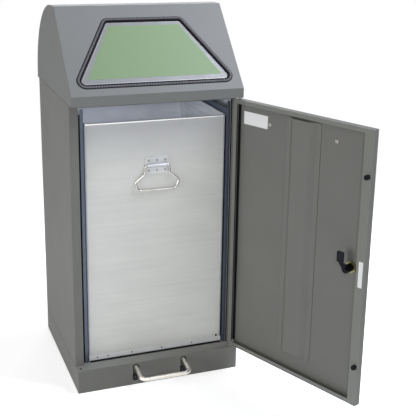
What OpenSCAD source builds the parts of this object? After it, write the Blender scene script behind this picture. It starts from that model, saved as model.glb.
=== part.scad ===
// Pedal recycling bin: a painted sheet-steel cabinet on a plinth, with a sloped hood whose
// flap opens inwards when the pedal is pressed, a pin-hung door and a galvanised container.
// Front faces -Y and up is +Z. The origin lies on the floor under the middle of the plinth.
// The door stands open, the container is in, the bail hangs and the pedal is up.

/* [Cabinet] */
// Overall width
body_w = 400; // [385:5:440]
// Depth of the plinth and the cabinet
body_d = 370; // [350:5:400]
// Height of the plinth, up to its ledge
plinth_h = 58; // [56:1:70]
// Height of the hood's lower edge above the floor
hood_z = 687; // [660:1:740]
// Thickness of the painted steel sheet
sheet_t = 1.5; // [1.2:0.1:1.8]
// How far the plinth and the hood stand out in front of the stiles
ledge_d = 26.5; // [25:0.5:32]
// Width of the front stiles beside the doorway
stile_w = 20; // [18:1:22]
// Width of the hem folded back behind each stile
hem_w = 8; // [5:1:10]
// Height of the strip over the doorway, hidden behind the hood's lip
header_h = 7; // [5:1:9]
// Width of the joining flanges at the front and back
flange_w = 12; // [11:1:14]
// Width of the joining flanges along the sides
side_flange_w = 5.5; // [4:0.5:6]
// Width of the flange round the plinth's foot
foot_flange_w = 15; // [12:1:20]
// Width of the strap across the middle of the plinth's foot
foot_strap_w = 40; // [30:5:60]

/* [Hood] */
// Height of the upright lip in front
lip_h = 22.5; // [20:0.5:30]
// Height of the hood from its lower edge to the roof
hood_h = 198; // [190:1:210]
// How far back the slope reaches from the lip to the roof
slope_run = 163; // [158:1:170]
// Radius of the round back
roof_r = 195; // [180:1:196]
// How far the hood stands out behind the cabinet
hood_overhang = 18; // [10:1:25]

/* [Flap opening] */
// Distance up the slope from the fold to the opening
opening_start = 24.3; // [22:0.1:28]
// Length of the opening up the slope
opening_len = 173.7; // [165:0.1:176]
// Width of the sheet beside the opening at its lower edge
opening_margin = 14; // [12:0.5:25]
// Width of the opening at its upper edge
opening_top_w = 181; // [160:1:200]
// Radius of the lower corners
opening_bottom_r = 15.3; // [12:0.1:20]
// Radius of the upper corners
opening_top_r = 11.3; // [8:0.1:15]
// Width of the rubber edge trim
trim_w = 9.5; // [8:0.5:10]
// How far the trim stands out in front of the sheet
trim_front = 3; // [2:0.5:5]
// How far the trim stands out behind the sheet
trim_back = 2.5; // [2:0.5:5]

/* [Flap] */
// How far the flap reaches behind the trim
flap_overlap = 4.5; // [3:0.5:6]
// Thickness of the flap's sheet
flap_t = 1.2; // [1:0.1:1.5]
// Depth of the flap's folded rim
flap_rim = 10; // [6:1:12]
// Radius of the flap's shaft
flap_shaft_r = 4; // [3.5:0.5:5]
// Distance of the shaft beyond the flap's upper edge
flap_shaft_gap = 8; // [7:1:12]
// Distance of the shaft behind the flap's face
flap_shaft_drop = 12.5; // [10:0.5:14]
// Radius of the hubs that hold the flap on its shaft
flap_hub_r = 8; // [7:0.5:9]
// Length of each hub along the shaft
flap_hub_l = 14; // [10:1:20]
// Distance between the two hubs
flap_hub_span = 120; // [80:5:150]
// How far the flap turns inwards, in degrees
flap_travel = 70; // [55:1:75]
// Radius of the bearings on the hood's cheeks
flap_bearing_r = 9; // [8:0.5:10]
// Length of each bearing
flap_bearing_l = 10; // [8:0.5:11]

/* [Linkage] */
// Reach of the crank on the flap's shaft
flap_crank_r = 26; // [24:0.5:30]
// Radius of the crank pins
crank_pin_r = 2.5; // [2:0.25:3]
// Thickness of the crank arms
crank_t = 3; // [2.5:0.5:4]
// Width of the crank arms
crank_w = 12; // [10:1:14]
// Radius of the cranks' hubs
crank_hub_r = 10; // [9:0.5:11]
// Length of the cranks' hubs along the shafts
crank_hub_l = 10; // [8:1:12]
// Distance of the link rod from the inside of the left wall
link_inset = 9.5; // [9:0.5:11]
// Radius of the link rod
link_r = 3; // [2.5:0.25:3.5]
// Thickness of the link's eyes
eye_t = 6; // [5:0.5:7]
// Length of the link's eyes, front to back
eye_l = 19; // [18:1:22]
// Height of the link's eyes
eye_h = 15; // [14:1:17]
// Play of a crank pin in its slot, up and down
slot_play = 0.6; // [0.5:0.1:1]
// Play of a crank pin in its slot, front to back
slot_slide = 3.2; // [3:0.1:4]
// Heights of the link's two guides above the floor
link_guide_zs = [220, 560];
// Height of each guide
link_guide_h = 12; // [8:1:20]
// Width of each guide, front to back
link_guide_w = 20; // [14:1:26]

/* [Pedal] */
// Radius of the pedal's round bar
pedal_bar_r = 5; // [4:0.5:5.5]
// Distance between the pedal's two arms
pedal_span = 120; // [100:5:150]
// How far the bar stands out in front of the plinth
pedal_reach = 53; // [45:1:60]
// Height of the bar at rest
pedal_bar_z = 38.5; // [36:0.5:40]
// Bend radius at the bar's ends
pedal_bend_r = 14; // [10:1:20]
// How far behind the plinth's front the arms bend
pedal_knee_back = 13; // [10:1:20]
// Height of the arms' bend
pedal_knee_z = 48.5; // [45:0.5:49]
// Radius of the pedal's shaft
pedal_shaft_r = 6; // [5:0.5:7]
// Height of the pedal's shaft
pedal_shaft_z = 36; // [34:0.5:38]
// How far the pedal turns down, in degrees
pedal_travel = 14.3; // [13:0.1:14.5]
// Radius of the hubs on the pedal's shaft
pedal_hub_r = 9.5; // [8.5:0.5:10]
// Length of each hub
pedal_hub_l = 14; // [10:1:18]
// Width of the slots in the plinth
pedal_slot_w = 15.5; // [14:0.5:18]
// Height of the slots' lower end
pedal_slot_z0 = 9.5; // [8:0.5:12]
// Height of the slots' upper end
pedal_slot_z1 = 54; // [53.5:0.1:54.2]
// Radius of the rubber buffers that stand behind the slots
slot_buffer_r = 6; // [5:0.5:7]
// Height of the buffers' domed tops above the floor
slot_buffer_top = 22; // [18:0.5:24]
// Gap between the crank's hub and the shaft's left bracket
pedal_bracket_gap = 5; // [3:0.5:10]
// Distance of the shaft's right bracket beyond the pedal's right arm
pedal_bracket_far = 16; // [12:1:30]
// Thickness of the brackets
pedal_bracket_t = 3; // [2.5:0.5:4]
// Height of the brackets
pedal_bracket_h = 28; // [26:1:30]
// Width of the brackets' flange on the plinth's front wall
pedal_bracket_flange = 20; // [15:1:25]
// Wall of the shaft's nylon bushes
bush_wall = 2; // [1.5:0.5:2.5]
// Radius of the return spring's coil
spring_r = 9; // [8.5:0.5:10]
// Radius of the spring's wire
spring_wire_r = 1; // [0.75:0.25:1.25]
// Number of turns in the spring
spring_turns = 9; // [6:1:11]
// Rise of the spring along the shaft for each turn
spring_pitch = 3; // [2.9:0.1:3.5]

/* [Container] */
// Average room beside the container for the guide panels and the linkage
container_side = 32; // [30:0.5:37]
// Depth of the container
container_d = 316; // [280:1:318]
// Height of the container
container_h = 577; // [540:0.5:584]
// Thickness of its galvanised sheet
container_t = 1; // [0.8:0.1:1.5]
// Radius of its upright corners
container_corner_r = 5; // [4:0.5:12]
// Radius of the rolled rim
rim_r = 2.2; // [1.5:0.1:2.5]
// Height of the skids under the container
skid_h = 5.5; // [3:0.5:7]
// Width of each skid
skid_w = 24; // [15:1:40]
// Distance between the skids
skid_span = 220; // [150:5:260]
// Distance of the container's front behind the face of the stiles
container_setback = 12.5; // [12:0.5:13.5]
// Sideways offset of the container, which leaves room for the linkage
bay_offset = 4; // [2:0.5:5]
// How far the container slides out
container_travel = 330; // [250:5:340]

/* [Guide panels] */
// Gap between the container and each guide panel
guide_gap = 3; // [2.8:0.1:3.5]
// Thickness of the guide panels
guide_t = 1.5; // [1:0.1:2]
// Width of the panels' front flange
guide_flange_w = 6; // [5:0.5:9]
// Width of the panels' foot
guide_foot_w = 9.5; // [6:0.5:9.5]
// Distance of the panels' front behind the face of the stiles
guide_setback = 9.5; // [8.5:0.5:10]
// Depth of the panels
guide_d = 300; // [260:5:320]
// Distance of the panels' upper edge below the header
guide_top_gap = 25; // [22:1:60]
// Distance of the front flange's upper end below the header
guide_flange_gap = 6; // [4:0.5:20]

/* [Bail handle] */
// Height of the handle's axis above the floor
handle_z = 533; // [480:1:560]
// Width of the handle plate
plate_w = 59; // [56:1:64]
// Height of the handle plate
plate_h = 41; // [38:1:50]
// Thickness of the handle plate
plate_t = 1.5; // [1:0.1:2]
// Radius of the rolled bead that holds the bail
bead_r = 4.5; // [4:0.25:5]
// Length of the bead
bead_l = 48; // [40:1:50]
// Radius of the bail's wire
bail_r = 2.5; // [2:0.25:2.75]
// Half of the bail's width at its neck
bail_neck = 29; // [28:0.5:32]
// Length of the neck below the axis
bail_neck_h = 19; // [17:1:22]
// Half of the bail's greatest width
bail_wide = 53; // [45:1:60]
// Depth at which the bail is widest
bail_wide_z = 37; // [34:1:42]
// Half of the width of the grip
bail_grip = 47; // [42:1:50]
// Distance of each end of the bail's wire from the middle of the bead
bail_end = 14; // [8:1:16]
// Depth of the bail below its axis
bail_drop = 58.5; // [55:0.5:70]
// Distance between neighbouring rivets
rivet_pitch = 20; // [18:0.5:21]
// Height of the rivet rows above and below the axis
rivet_row = 12; // [10.5:0.5:15]
// Radius of the rivets' shanks
rivet_r = 1.6; // [1.2:0.1:2]
// Radius of the rivets' heads
rivet_head_r = 2.7; // [2.4:0.1:3.2]
// Height of the rivets' heads
rivet_head_h = 1.1; // [0.6:0.1:1.5]

/* [Door] */
// Depth of the door pan
door_t = 16; // [15:0.5:17]
// How far the door's skin lies behind the plinth's front
door_recess = 3; // [1:0.5:3.5]
// Gap at each side of the door
door_side_gap = 2; // [1:0.5:3]
// Gap over and under the door
door_end_gap = 3.5; // [3.2:0.1:5]
// Width of the return lip along the free edge
free_lip_w = 22; // [18:1:24]
// Width of the return lip along the hinge edge
hinge_lip_w = 11; // [8:0.5:14]
// Width of the return lips at the top and bottom
end_lip_w = 10; // [8:0.5:14]
// Distance of the hinge axis from the door's edge
hinge_inset = 6.5; // [6.5:0.25:8]
// Angle at which the door stands open, in degrees
door_open = 112.6; // [95:0.1:120]
// Radius of the hinge pins
hinge_pin_r = 3; // [2.5:0.25:3.25]
// Radius of the collars on the hinge pins
hinge_collar_r = 6; // [5.5:0.25:6.25]
// Height of the collars on the hinge pins
hinge_collar_h = 2; // [1:0.25:2.25]
// How far the hinge pins reach into the door
hinge_pin_reach = 9; // [6:0.5:12]
// Length of the hinge pins' tails in the plinth and the hood
hinge_pin_tail = 6; // [3:0.5:10]
// Length of the hinge bushes inside the door
hinge_bush_l = 10; // [6:0.5:14]
// Wall of the hinge bushes
hinge_bush_wall = 1.5; // [1:0.25:1.5]
// Width of the stiffener over its flanges
stiffener_w = 100; // [90:1:120]
// Width of the stiffener at the foot of its flanks
stiffener_base_w = 70; // [60:1:80]
// Width of the stiffener's crest
stiffener_crest_w = 46; // [36:1:56]
// Height of the stiffener
stiffener_h = 10.5; // [8:0.5:12]
// Thickness of the stiffener
stiffener_t = 1; // [0.8:0.1:1.2]
// Place of the stiffener across the door
stiffener_x = -3; // [-20:1:20]
// Gap from the stiffener's upper end to the top of the door
stiffener_top_gap = 16; // [12:1:30]
// Gap from the stiffener's lower end to the bottom of the door
stiffener_bottom_gap = 47; // [30:1:80]
// Radius of the rubber buffers on the free lip
door_buffer_r = 5.5; // [4:0.5:6.5]
// Distance of the buffers from the door's free edge
door_buffer_inset = 7; // [6.5:0.5:8]
// Heights of the two buffers above the floor
door_buffer_zs = [155, 584];
// Radius of the heads of the two plugs in the door's skin
plug_head_r = 4.5; // [3.5:0.5:6]
// Radius of the plugs' shanks
plug_r = 3; // [2:0.5:3]
// Distance between the plugs
plug_span = 191; // [160:1:220]
// Distance of the plugs from the top of the door
plug_gap = 45.5; // [38.5:0.5:80]

/* [Lock] */
// Distance of the lock from the door's free edge
lock_inset = 44; // [42:0.5:46]
// Height of the lock above the floor
lock_z = 373; // [300:1:450]
// Radius of the lock barrel
lock_r = 9; // [8:0.25:9.5]
// Radius of the collar outside
lock_collar_r = 12; // [11:0.5:13]
// Thickness of the collar outside
lock_collar_t = 2; // [1:0.25:2.5]
// Length of the barrel behind the skin's face
lock_l = 22; // [20:0.5:22.5]
// Width of the lock nut across its corners
nut_w = 28; // [24:0.5:29]
// Thickness of the lock nut
nut_t = 4; // [3:0.5:6]
// Thickness of the cam
cam_t = 2; // [1.6:0.1:2]
// Width of the cam
cam_w = 18; // [13:1:19]
// How far out the cam is cranked
cam_crank_at = 15; // [14:0.5:17]
// How far back the cam is cranked
cam_crank = 5.5; // [5:0.25:5.75]
// Reach of the cam from the lock's axis
cam_reach = 39; // [35:0.5:40]
// Radius of the cam screw's head
cam_screw_r = 4.5; // [3.5:0.5:6]
// Height of the cam screw's head
cam_screw_h = 3; // [2:0.5:4]
// Radius of the cam screw's shank
cam_screw_shank_r = 2; // [1.5:0.25:2.5]

/* [Screws] */
// Radius of the joining screws
screw_r = 2; // [1.5:0.25:2.25]
// Radius of the joining screws' heads
screw_head_r = 3.5; // [3:0.25:3.75]
// Height of the joining screws' heads
screw_head_h = 2.5; // [1.5:0.25:3]
// Distance between the screws across the cabinet's back and front
screw_span_x = 280; // [240:5:300]
// Places of the plinth's screws along each side
plinth_screw_ys = [-90, 100];

/* [Fits] */
// Gap between turning or sliding faces
run_c = 0.05; // [0.02:0.01:0.08]
// Gap between a piece and the seat it rests on
seat_c = 0.3; // [0.2:0.05:0.4]
// Gap round a fixed piece in its hole
fit_c = 0.1; // [0.05:0.05:0.2]

/* [Hidden] */

// Facets of round pieces, and of small ones
$fn = 64;
// A little extra, so that a cut runs past a face
past = 1;
// How far the bead at each joint of a bent bar stands out of it
joint_bead = 0.02;
// Points along each rounded corner of an outline
corner_steps = 8;

// Planes and places of the cabinet
front_y = -body_d / 2;
back_y = body_d / 2;
inner_x = body_w / 2 - sheet_t;
stile_y = front_y + ledge_d;
door_half = body_w / 2 - stile_w;

// The hood's side outline
fold_z = hood_z + lip_h;
roof_z = hood_z + hood_h;
roof_y = front_y + slope_run;
slope_a = atan2(roof_z - fold_z, slope_run);
hood_back_y = back_y + hood_overhang;
arc_y = hood_back_y - roof_r;
arc_z = roof_z - roof_r;

// The flap, measured up the slope and out from it
opening_bottom_w = body_w - 2 * opening_margin;
opening_lean = atan2((opening_bottom_w - opening_top_w) / 2, opening_len);
trim_half = trim_w / 2;
flap_grow = flap_overlap - trim_half;
flap_face = -sheet_t - trim_back - seat_c;
flap_top = opening_start + opening_len + flap_grow;
shaft_s = flap_top + flap_shaft_gap;
shaft_n = flap_face - flap_shaft_drop;
shaft_y = front_y + shaft_s * cos(slope_a) - shaft_n * sin(slope_a);
shaft_z = fold_z + shaft_s * sin(slope_a) + shaft_n * cos(slope_a);

// The linkage: the rear crank on the flap's shaft swings evenly about the level
link_x = -inner_x + link_inset;
link_y = shaft_y + flap_crank_r * (1 + cos(flap_travel / 2)) / 2;
link_travel = 2 * flap_crank_r * sin(flap_travel / 2);
pedal_crank_r = link_travel / (pedal_travel * PI / 180);
pedal_shaft_y = link_y - pedal_crank_r * cos(pedal_travel / 2);
upper_pin_z = shaft_z - link_travel / 2;
lower_pin_z = pedal_shaft_z - pedal_crank_r * sin(pedal_travel / 2);
crank_x = link_x + eye_t / 2 + crank_t;
pin_end_x = link_x - eye_t / 2 - crank_pin_r;
link_hole = [eye_t + 8, eye_l + 7];

// The pedal and its brackets
pedal_bracket_xs = [crank_x + crank_hub_l + pedal_bracket_gap, pedal_span / 2 + pedal_bracket_far];
pedal_bar_y = front_y - pedal_reach;
knee_y = front_y + pedal_knee_back;
pedal_lean = atan2(pedal_knee_z - pedal_bar_z, knee_y - pedal_bar_y);
pedal_leg = norm([knee_y - pedal_bar_y, pedal_knee_z - pedal_bar_z]);
spring_x = -pedal_span / 2 + pedal_hub_l / 2 + 6;
spring_z = plinth_h - sheet_t - pedal_shaft_z - spring_wire_r - seat_c;
spring_hook_y = 13.5;
spring_hook_z = spring_hook_y * (pedal_knee_z - pedal_shaft_z) / (pedal_shaft_y - knee_y)
    - pedal_bar_r / cos(atan2(pedal_knee_z - pedal_shaft_z,
        pedal_shaft_y - knee_y)) - spring_wire_r - seat_c;

// The container and its handle
container_w = body_w - 2 * container_side;
container_z = plinth_h + seat_c + skid_h;
container_top = container_z + container_h;
container_y = stile_y + container_setback;
guide_y = stile_y + guide_setback;
guide_face = container_w / 2 + guide_gap;
guide_top = hood_z - header_h - guide_top_gap;
guide_flange_top = hood_z - header_h - guide_flange_gap;
plate_y = container_y - plate_t;
bead_y = plate_y - bead_r + plate_t;

// The door, measured as if shut
door_half_w = body_w / 2 - door_side_gap;
skin_y = front_y + door_recess;
inner_skin_y = skin_y + sheet_t;
lip_y = skin_y + door_t;
door_z0 = plinth_h + door_end_gap;
door_z1 = hood_z - door_end_gap;
plug_z = door_z1 - plug_gap;
hinge_x = door_half_w - hinge_inset;
hinge_y = skin_y + door_t / 2;
hinge_bush_r = hinge_pin_r + run_c + hinge_bush_wall;
hinge_flange_h = door_end_gap - hinge_collar_h - seat_c;
lock_x = -door_half_w + lock_inset;
cam_y = skin_y + lock_l;

// Outlines and bent bars

// Unit vector from a to b
function toward(a, b) = (b - a) / norm(b - a);

// Angle between two unit vectors
function turn_of(u, v) = acos(max(-1, min(1, u * v)));

// A corner's arc from the side that comes in to the side that goes out
function corner_arc(p, before, after, r) =
    let (u = toward(p, before), v = toward(p, after), half = turn_of(u, v) / 2)
    let (c = p + toward([0, 0], u + v) * r / sin(half))
    let (a0 = atan2((p + u * r / tan(half) - c)[1], (p + u * r / tan(half) - c)[0]))
    let (a1 = atan2((p + v * r / tan(half) - c)[1], (p + v * r / tan(half) - c)[0]))
    let (sweep = (a1 - a0 + 540) % 360 - 180)
    [for (i = [0:corner_steps]) c + r * [cos(a0 + sweep * i / corner_steps),
        sin(a0 + sweep * i / corner_steps)]];

// An outline with a radius at each corner, given as [x, y, radius]
function rounded(points) = [
    for (i = [0:len(points) - 1])
        let (n = len(points), p = points[i], a = points[(i + n - 1) % n], b = points[(i + 1) % n])
        each (p[2] > 0 ? corner_arc([p[0], p[1]], [a[0], a[1]], [b[0], b[1]], p[2]) : [[p[0], p[1]]])
];

// The trapezoid of the opening, grown by g on every side
function opening_outline(g) =
    let (out = g / cos(opening_lean), up = g * tan(opening_lean))
    let (bottom = opening_bottom_w / 2 + out + up, top = opening_top_w / 2 + out - up)
    rounded([
        [-bottom, opening_start - g, opening_bottom_r + g],
        [bottom, opening_start - g, opening_bottom_r + g],
        [top, opening_start + opening_len + g, opening_top_r + g],
        [-top, opening_start + opening_len + g, opening_top_r + g]
    ]);

// Places its children on the hood's slope: X across, Y up the slope from the fold, Z outwards
module on_slope() {
    translate([0, front_y, fold_z]) rotate([slope_a, 0, 0]) children();
}

// A cylinder along X, from x0 to x1
module rod_x(x0, x1, r) {
    translate([x0, 0, 0]) rotate([0, 90, 0]) cylinder(r = r, h = x1 - x0);
}

// A cylinder along Y, from y0 to y1
module rod_y(y0, y1, r) {
    translate([0, y0, 0]) rotate([-90, 0, 0]) cylinder(r = r, h = y1 - y0);
}

// A box from one corner to the opposite one
module box(low, high) {
    translate(low) cube(high - low);
}

// A closed ring of points round one point of a path, square to the path's direction there
function ring_at(path, i, r, sides) =
    let (n = len(path), t = toward(path[max(0, i - 1)], path[min(n - 1, i + 1)]))
    let (u = toward([0, 0, 0], cross(t, abs(t[0]) > 0.9 ? [0.001, 1, 0.002] : [1, 0.002, 0.001])))
    let (v = cross(t, u))
    [for (k = [0:sides - 1]) path[i] + r * (u * cos(360 * k / sides) + v * sin(360 * k / sides))];

// Wire of radius r along a path of points in space
module wire(path, r, sides) {
    n = len(path);
    points = [for (i = [0:n - 1]) each ring_at(path, i, r, sides)];
    walls = [for (i = [0:n - 2], k = [0:sides - 1])
        let (a = i * sides + k, b = i * sides + (k + 1) % sides)
        each [[a, a + sides, b], [b, a + sides, b + sides]]];
    ends = [[for (k = [0:sides - 1]) k], [for (k = [sides - 1:-1:0]) (n - 1) * sides + k]];
    polyhedron(points, concat(walls, ends));
}

// A round bar bent in the XY plane through points, with a radius at each bend
module bent_bar(points, bend, r) {
    last = len(points) - 1;
    cut = [for (i = [0:last]) (i == 0 || i == last) ? 0 : let (
        u = toward(points[i], points[i - 1]), v = toward(points[i], points[i + 1])
    ) bend[i] / tan(turn_of(u, v) / 2)];
    for (i = [0:last - 1]) {
        u = toward(points[i], points[i + 1]);
        a = cut[i] + (i == 0 ? 0 : 2 * joint_bead);
        b = cut[i + 1] + (i == last - 1 ? 0 : 2 * joint_bead);
        translate(points[i] + u * a) rotate([0, 0, atan2(u[1], u[0])]) rotate([0, 90, 0])
            cylinder(r = r, h = norm(points[i + 1] - points[i]) - a - b, $fn = 48);
        if (i > 0) translate(points[i] + u * cut[i]) sphere(r = r + joint_bead, $fn = 48);
        if (i < last - 1) translate(points[i + 1] - u * cut[i + 1]) sphere(r = r + joint_bead, $fn = 48);
    }
    for (i = [1:last - 1]) {
        u = toward(points[i], points[i - 1]);
        v = toward(points[i], points[i + 1]);
        half = turn_of(u, v) / 2;
        centre = points[i] + toward([0, 0], u + v) * bend[i] / sin(half);
        translate(centre) rotate([0, 0, atan2(-(u + v)[1], -(u + v)[0]) - 90 + half])
            rotate_extrude(angle = 180 - 2 * half) translate([bend[i], 0]) circle(r = r, $fn = 48);
    }
}

// The hood's side outline as a solid across X, drawn in by i
module hood_form(i, width, low) {
    top_y = front_y + (roof_z - i - fold_z + i / cos(slope_a)) / tan(slope_a);
    difference() {
        translate([-width / 2, 0, 0]) rotate([90, 0, 90]) linear_extrude(width) polygon([
            [front_y + i, low],
            [front_y + i, fold_z + i * tan(slope_a) - i / cos(slope_a)],
            [top_y, roof_z - i],
            [hood_back_y - i, roof_z - i],
            [hood_back_y - i, low]
        ]);
        difference() {
            box([-width / 2 - past, arc_y, arc_z], [width / 2 + past, hood_back_y + past, roof_z + past]);
            translate([0, arc_y, arc_z]) rod_x(-width, width, roof_r - i, $fn = 180);
        }
    }
}

// A flange ring inside a rectangle: x and y limits, widths of the side, front and back strips
module flange_ring(x, y0, y1, z0, z1, side, front, back) {
    difference() {
        box([-x, y0, z0], [x, y1, z1]);
        box([-x + side, y0 + front, z0 - past], [x - side, y1 - back, z1 + past]);
    }
}

// The hole through which the link rod passes
module link_opening(z0, z1) {
    translate([link_x, link_y, 0])
        box([-link_hole[0] / 2, -link_hole[1] / 2, z0], [link_hole[0] / 2, link_hole[1] / 2, z1]);
}

// Places its children at each screw between the hood and the cabinet
module at_hood_screws() {
    for (x = [-1, 1] * screw_span_x / 2) {
        translate([x, back_y - sheet_t - flange_w / 2, hood_z]) children();
        translate([x, stile_y + sheet_t + flange_w / 2, hood_z]) children();
    }
}

// Places its children at each screw between the cabinet and the plinth
module at_plinth_screws() {
    for (x = [-1, 1] * (inner_x - flange_w / 2), y = plinth_screw_ys) translate([x, y, plinth_h])
        children();
}

// Turns its children from the shut door's place to where the door stands
module door_swing() {
    translate([hinge_x, hinge_y, 0]) rotate([0, 0, door_open]) translate([-hinge_x, -hinge_y, 0])
        children();
}

// Cabinet

module plinth() {
    color("dimgray") difference() {
        union() {
            difference() {
                box([-body_w / 2, front_y, 0], [body_w / 2, back_y, plinth_h]);
                box([-inner_x, front_y + sheet_t, -past],
                    [inner_x, back_y - sheet_t, plinth_h - sheet_t]);
            }
            flange_ring(inner_x, front_y + sheet_t, back_y - sheet_t, 0, sheet_t,
                foot_flange_w, foot_flange_w, foot_flange_w);
            box([-inner_x, -foot_strap_w / 2, 0], [inner_x, foot_strap_w / 2, sheet_t]);
        }
        for (x = [-1, 1] * pedal_span / 2) translate([x, 0, 0]) {
            for (z = [pedal_slot_z0 + pedal_slot_w / 2, pedal_slot_z1 - pedal_slot_w / 2])
                translate([0, 0, z]) rod_y(front_y - past, front_y + sheet_t + past, pedal_slot_w / 2);
            box([-pedal_slot_w / 2, front_y - past, pedal_slot_z0 + pedal_slot_w / 2],
                [pedal_slot_w / 2, front_y + sheet_t + past, pedal_slot_z1 - pedal_slot_w / 2]);
        }
        for (x = [-1, 1] * hinge_x)
            translate([x, hinge_y, plinth_h - sheet_t - past])
                cylinder(r = hinge_pin_r + fit_c, h = sheet_t + 2 * past);
        at_plinth_screws() translate([0, 0, -sheet_t - past])
            cylinder(r = screw_r + fit_c, h = sheet_t + 2 * past);
        link_opening(plinth_h - sheet_t - past, plinth_h + past);
    }
}

module body_shell() {
    color("gray") difference() {
        union() {
            difference() {
                box([-body_w / 2, stile_y, plinth_h], [body_w / 2, back_y, hood_z]);
                box([-inner_x, stile_y + sheet_t, plinth_h - past],
                    [inner_x, back_y - sheet_t, hood_z + past]);
                box([-door_half, stile_y - past, plinth_h - past],
                    [door_half, stile_y + sheet_t + past, hood_z - header_h]);
            }
            for (side = [-1, 1]) scale([side, 1, 1])
                box([door_half, stile_y + sheet_t, plinth_h],
                    [door_half + hem_w, stile_y + 2 * sheet_t, hood_z]);
            flange_ring(inner_x, stile_y + sheet_t, back_y - sheet_t, hood_z - sheet_t, hood_z,
                side_flange_w, flange_w, flange_w);
            difference() {
                flange_ring(inner_x, stile_y + sheet_t, back_y - sheet_t, plinth_h, plinth_h + sheet_t,
                    flange_w, past, flange_w);
                box([-door_half, stile_y, plinth_h - past],
                    [door_half, stile_y + 3 * sheet_t, plinth_h + 2 * sheet_t]);
            }
        }
        at_hood_screws() translate([0, 0, -sheet_t - past])
            cylinder(r = screw_r + fit_c, h = sheet_t + 2 * past);
        at_plinth_screws() translate([0, 0, -past]) cylinder(r = screw_r + fit_c, h = sheet_t + 2 * past);
        link_opening(plinth_h - past, plinth_h + sheet_t + past);
    }
}

module hood() {
    color("darkgray") difference() {
        union() {
            difference() {
                hood_form(0, body_w, hood_z);
                hood_form(sheet_t, body_w - 2 * sheet_t, hood_z - past);
            }
            flange_ring(inner_x, front_y + sheet_t, hood_back_y - sheet_t, hood_z, hood_z + sheet_t,
                side_flange_w, ledge_d + flange_w, hood_overhang + flange_w);
        }
        on_slope() translate([0, 0, -sheet_t - past])
            linear_extrude(sheet_t + 2 * past) polygon(opening_outline(0));
        for (x = [-1, 1] * hinge_x)
            translate([x, hinge_y, hood_z - past])
                cylinder(r = hinge_pin_r + fit_c, h = sheet_t + 2 * past);
        at_hood_screws() translate([0, 0, -past]) cylinder(r = screw_r + fit_c, h = sheet_t + 2 * past);
    }
}

module opening_trim() {
    color("black") on_slope() difference() {
        translate([0, 0, -sheet_t - trim_back]) linear_extrude(sheet_t + trim_back + trim_front)
            polygon(opening_outline(trim_half));
        translate([0, 0, -sheet_t - trim_back - past])
            linear_extrude(sheet_t + trim_back + trim_front + 2 * past)
            polygon(opening_outline(-trim_half));
        translate([0, 0, -sheet_t - fit_c]) linear_extrude(sheet_t + 2 * fit_c) difference() {
            polygon(opening_outline(trim_half + past));
            polygon(opening_outline(-fit_c));
        }
    }
}

// A galvanised panel that keeps the container straight; side is -1 on the left and 1 on the right
module guide_panel(side) {
    face = bay_offset * side + guide_face;
    color("lightsteelblue") scale([side, 1, 1]) {
        box([face, guide_y, plinth_h], [face + guide_t, guide_y + guide_d, guide_top]);
        box([face, guide_y, plinth_h], [face + guide_flange_w + guide_t, guide_y + guide_t,
            guide_flange_top]);
        box([face, guide_y + guide_d - guide_t, plinth_h + sheet_t + seat_c],
            [inner_x, guide_y + guide_d, guide_top]);
        box([face, guide_y, plinth_h], [face + guide_t + guide_foot_w, guide_y + guide_d,
            plinth_h + guide_t]);
    }
}

module guide_left() {
    guide_panel(-1);
}

module guide_right() {
    guide_panel(1);
}

// Screws that stand on their seat, with the shank downwards
module joining_screw(grip) {
    translate([0, 0, -grip - screw_r]) cylinder(r = screw_r, h = grip + screw_r);
    cylinder(r = screw_head_r, h = screw_head_h);
}

module hood_screws() {
    color("silver") at_hood_screws() translate([0, 0, sheet_t]) joining_screw(2 * sheet_t);
}

module plinth_screws() {
    color("silver") at_plinth_screws() translate([0, 0, sheet_t]) joining_screw(2 * sheet_t);
}

// Flap and linkage

module flap() {
    web = polygon_web();
    color("lightgray") on_slope() difference() {
        union() {
            translate([0, 0, flap_face - flap_t]) linear_extrude(flap_t)
                polygon(opening_outline(flap_grow));
            translate([0, 0, flap_face - flap_rim]) linear_extrude(flap_rim) difference() {
                polygon(opening_outline(flap_grow));
                polygon(opening_outline(flap_grow - flap_t));
            }
            for (x = [-1, 1] * flap_hub_span / 2) {
                translate([x - flap_hub_l / 2, shaft_s, shaft_n]) rod_x(0, flap_hub_l, flap_hub_r);
                translate([x - flap_hub_l / 2, 0, 0]) rotate([90, 0, 90])
                    linear_extrude(flap_hub_l) polygon(web);
            }
        }
        translate([0, shaft_s, shaft_n]) rod_x(-flap_hub_span, flap_hub_span, flap_shaft_r + run_c);
    }
}

// Side outline of the web between the flap's plate and its hub
function polygon_web() = [
    [flap_top - 3 * flap_hub_r, flap_face - flap_t / 2],
    [shaft_s - 3 * flap_hub_r, shaft_n - flap_hub_r + flap_t],
    [shaft_s, shaft_n - flap_hub_r],
    [shaft_s, shaft_n + flap_hub_r / 2],
    [flap_top - flap_t, flap_face - flap_t / 2]
];

// Shaft on which the flap turns
module flap_shaft() {
    color("silver") translate([0, shaft_y, shaft_z])
        rod_x(-inner_x + run_c * 10, inner_x - run_c * 10, flap_shaft_r);
}

// A crank: hub at the origin, arm along +Y and a pin towards -X
module crank(reach, shaft_r) {
    difference() {
        union() {
            rod_x(0, crank_hub_l, crank_hub_r);
            rod_x(-crank_t, 0, crank_hub_r);
            box([-crank_t, 0, -crank_w / 2], [0, reach, crank_w / 2]);
            translate([0, reach, 0]) rod_x(-crank_t, 0, crank_w / 2);
            translate([0, reach, 0]) rod_x(pin_end_x - crank_x, -crank_t / 2, crank_pin_r);
        }
        rod_x(-2 * crank_t, 2 * crank_hub_l, shaft_r);
    }
}

module flap_crank() {
    color("silver") translate([crank_x, shaft_y, shaft_z]) rotate([-flap_travel / 2, 0, 0])
        crank(flap_crank_r, flap_shaft_r + run_c);
}

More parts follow.
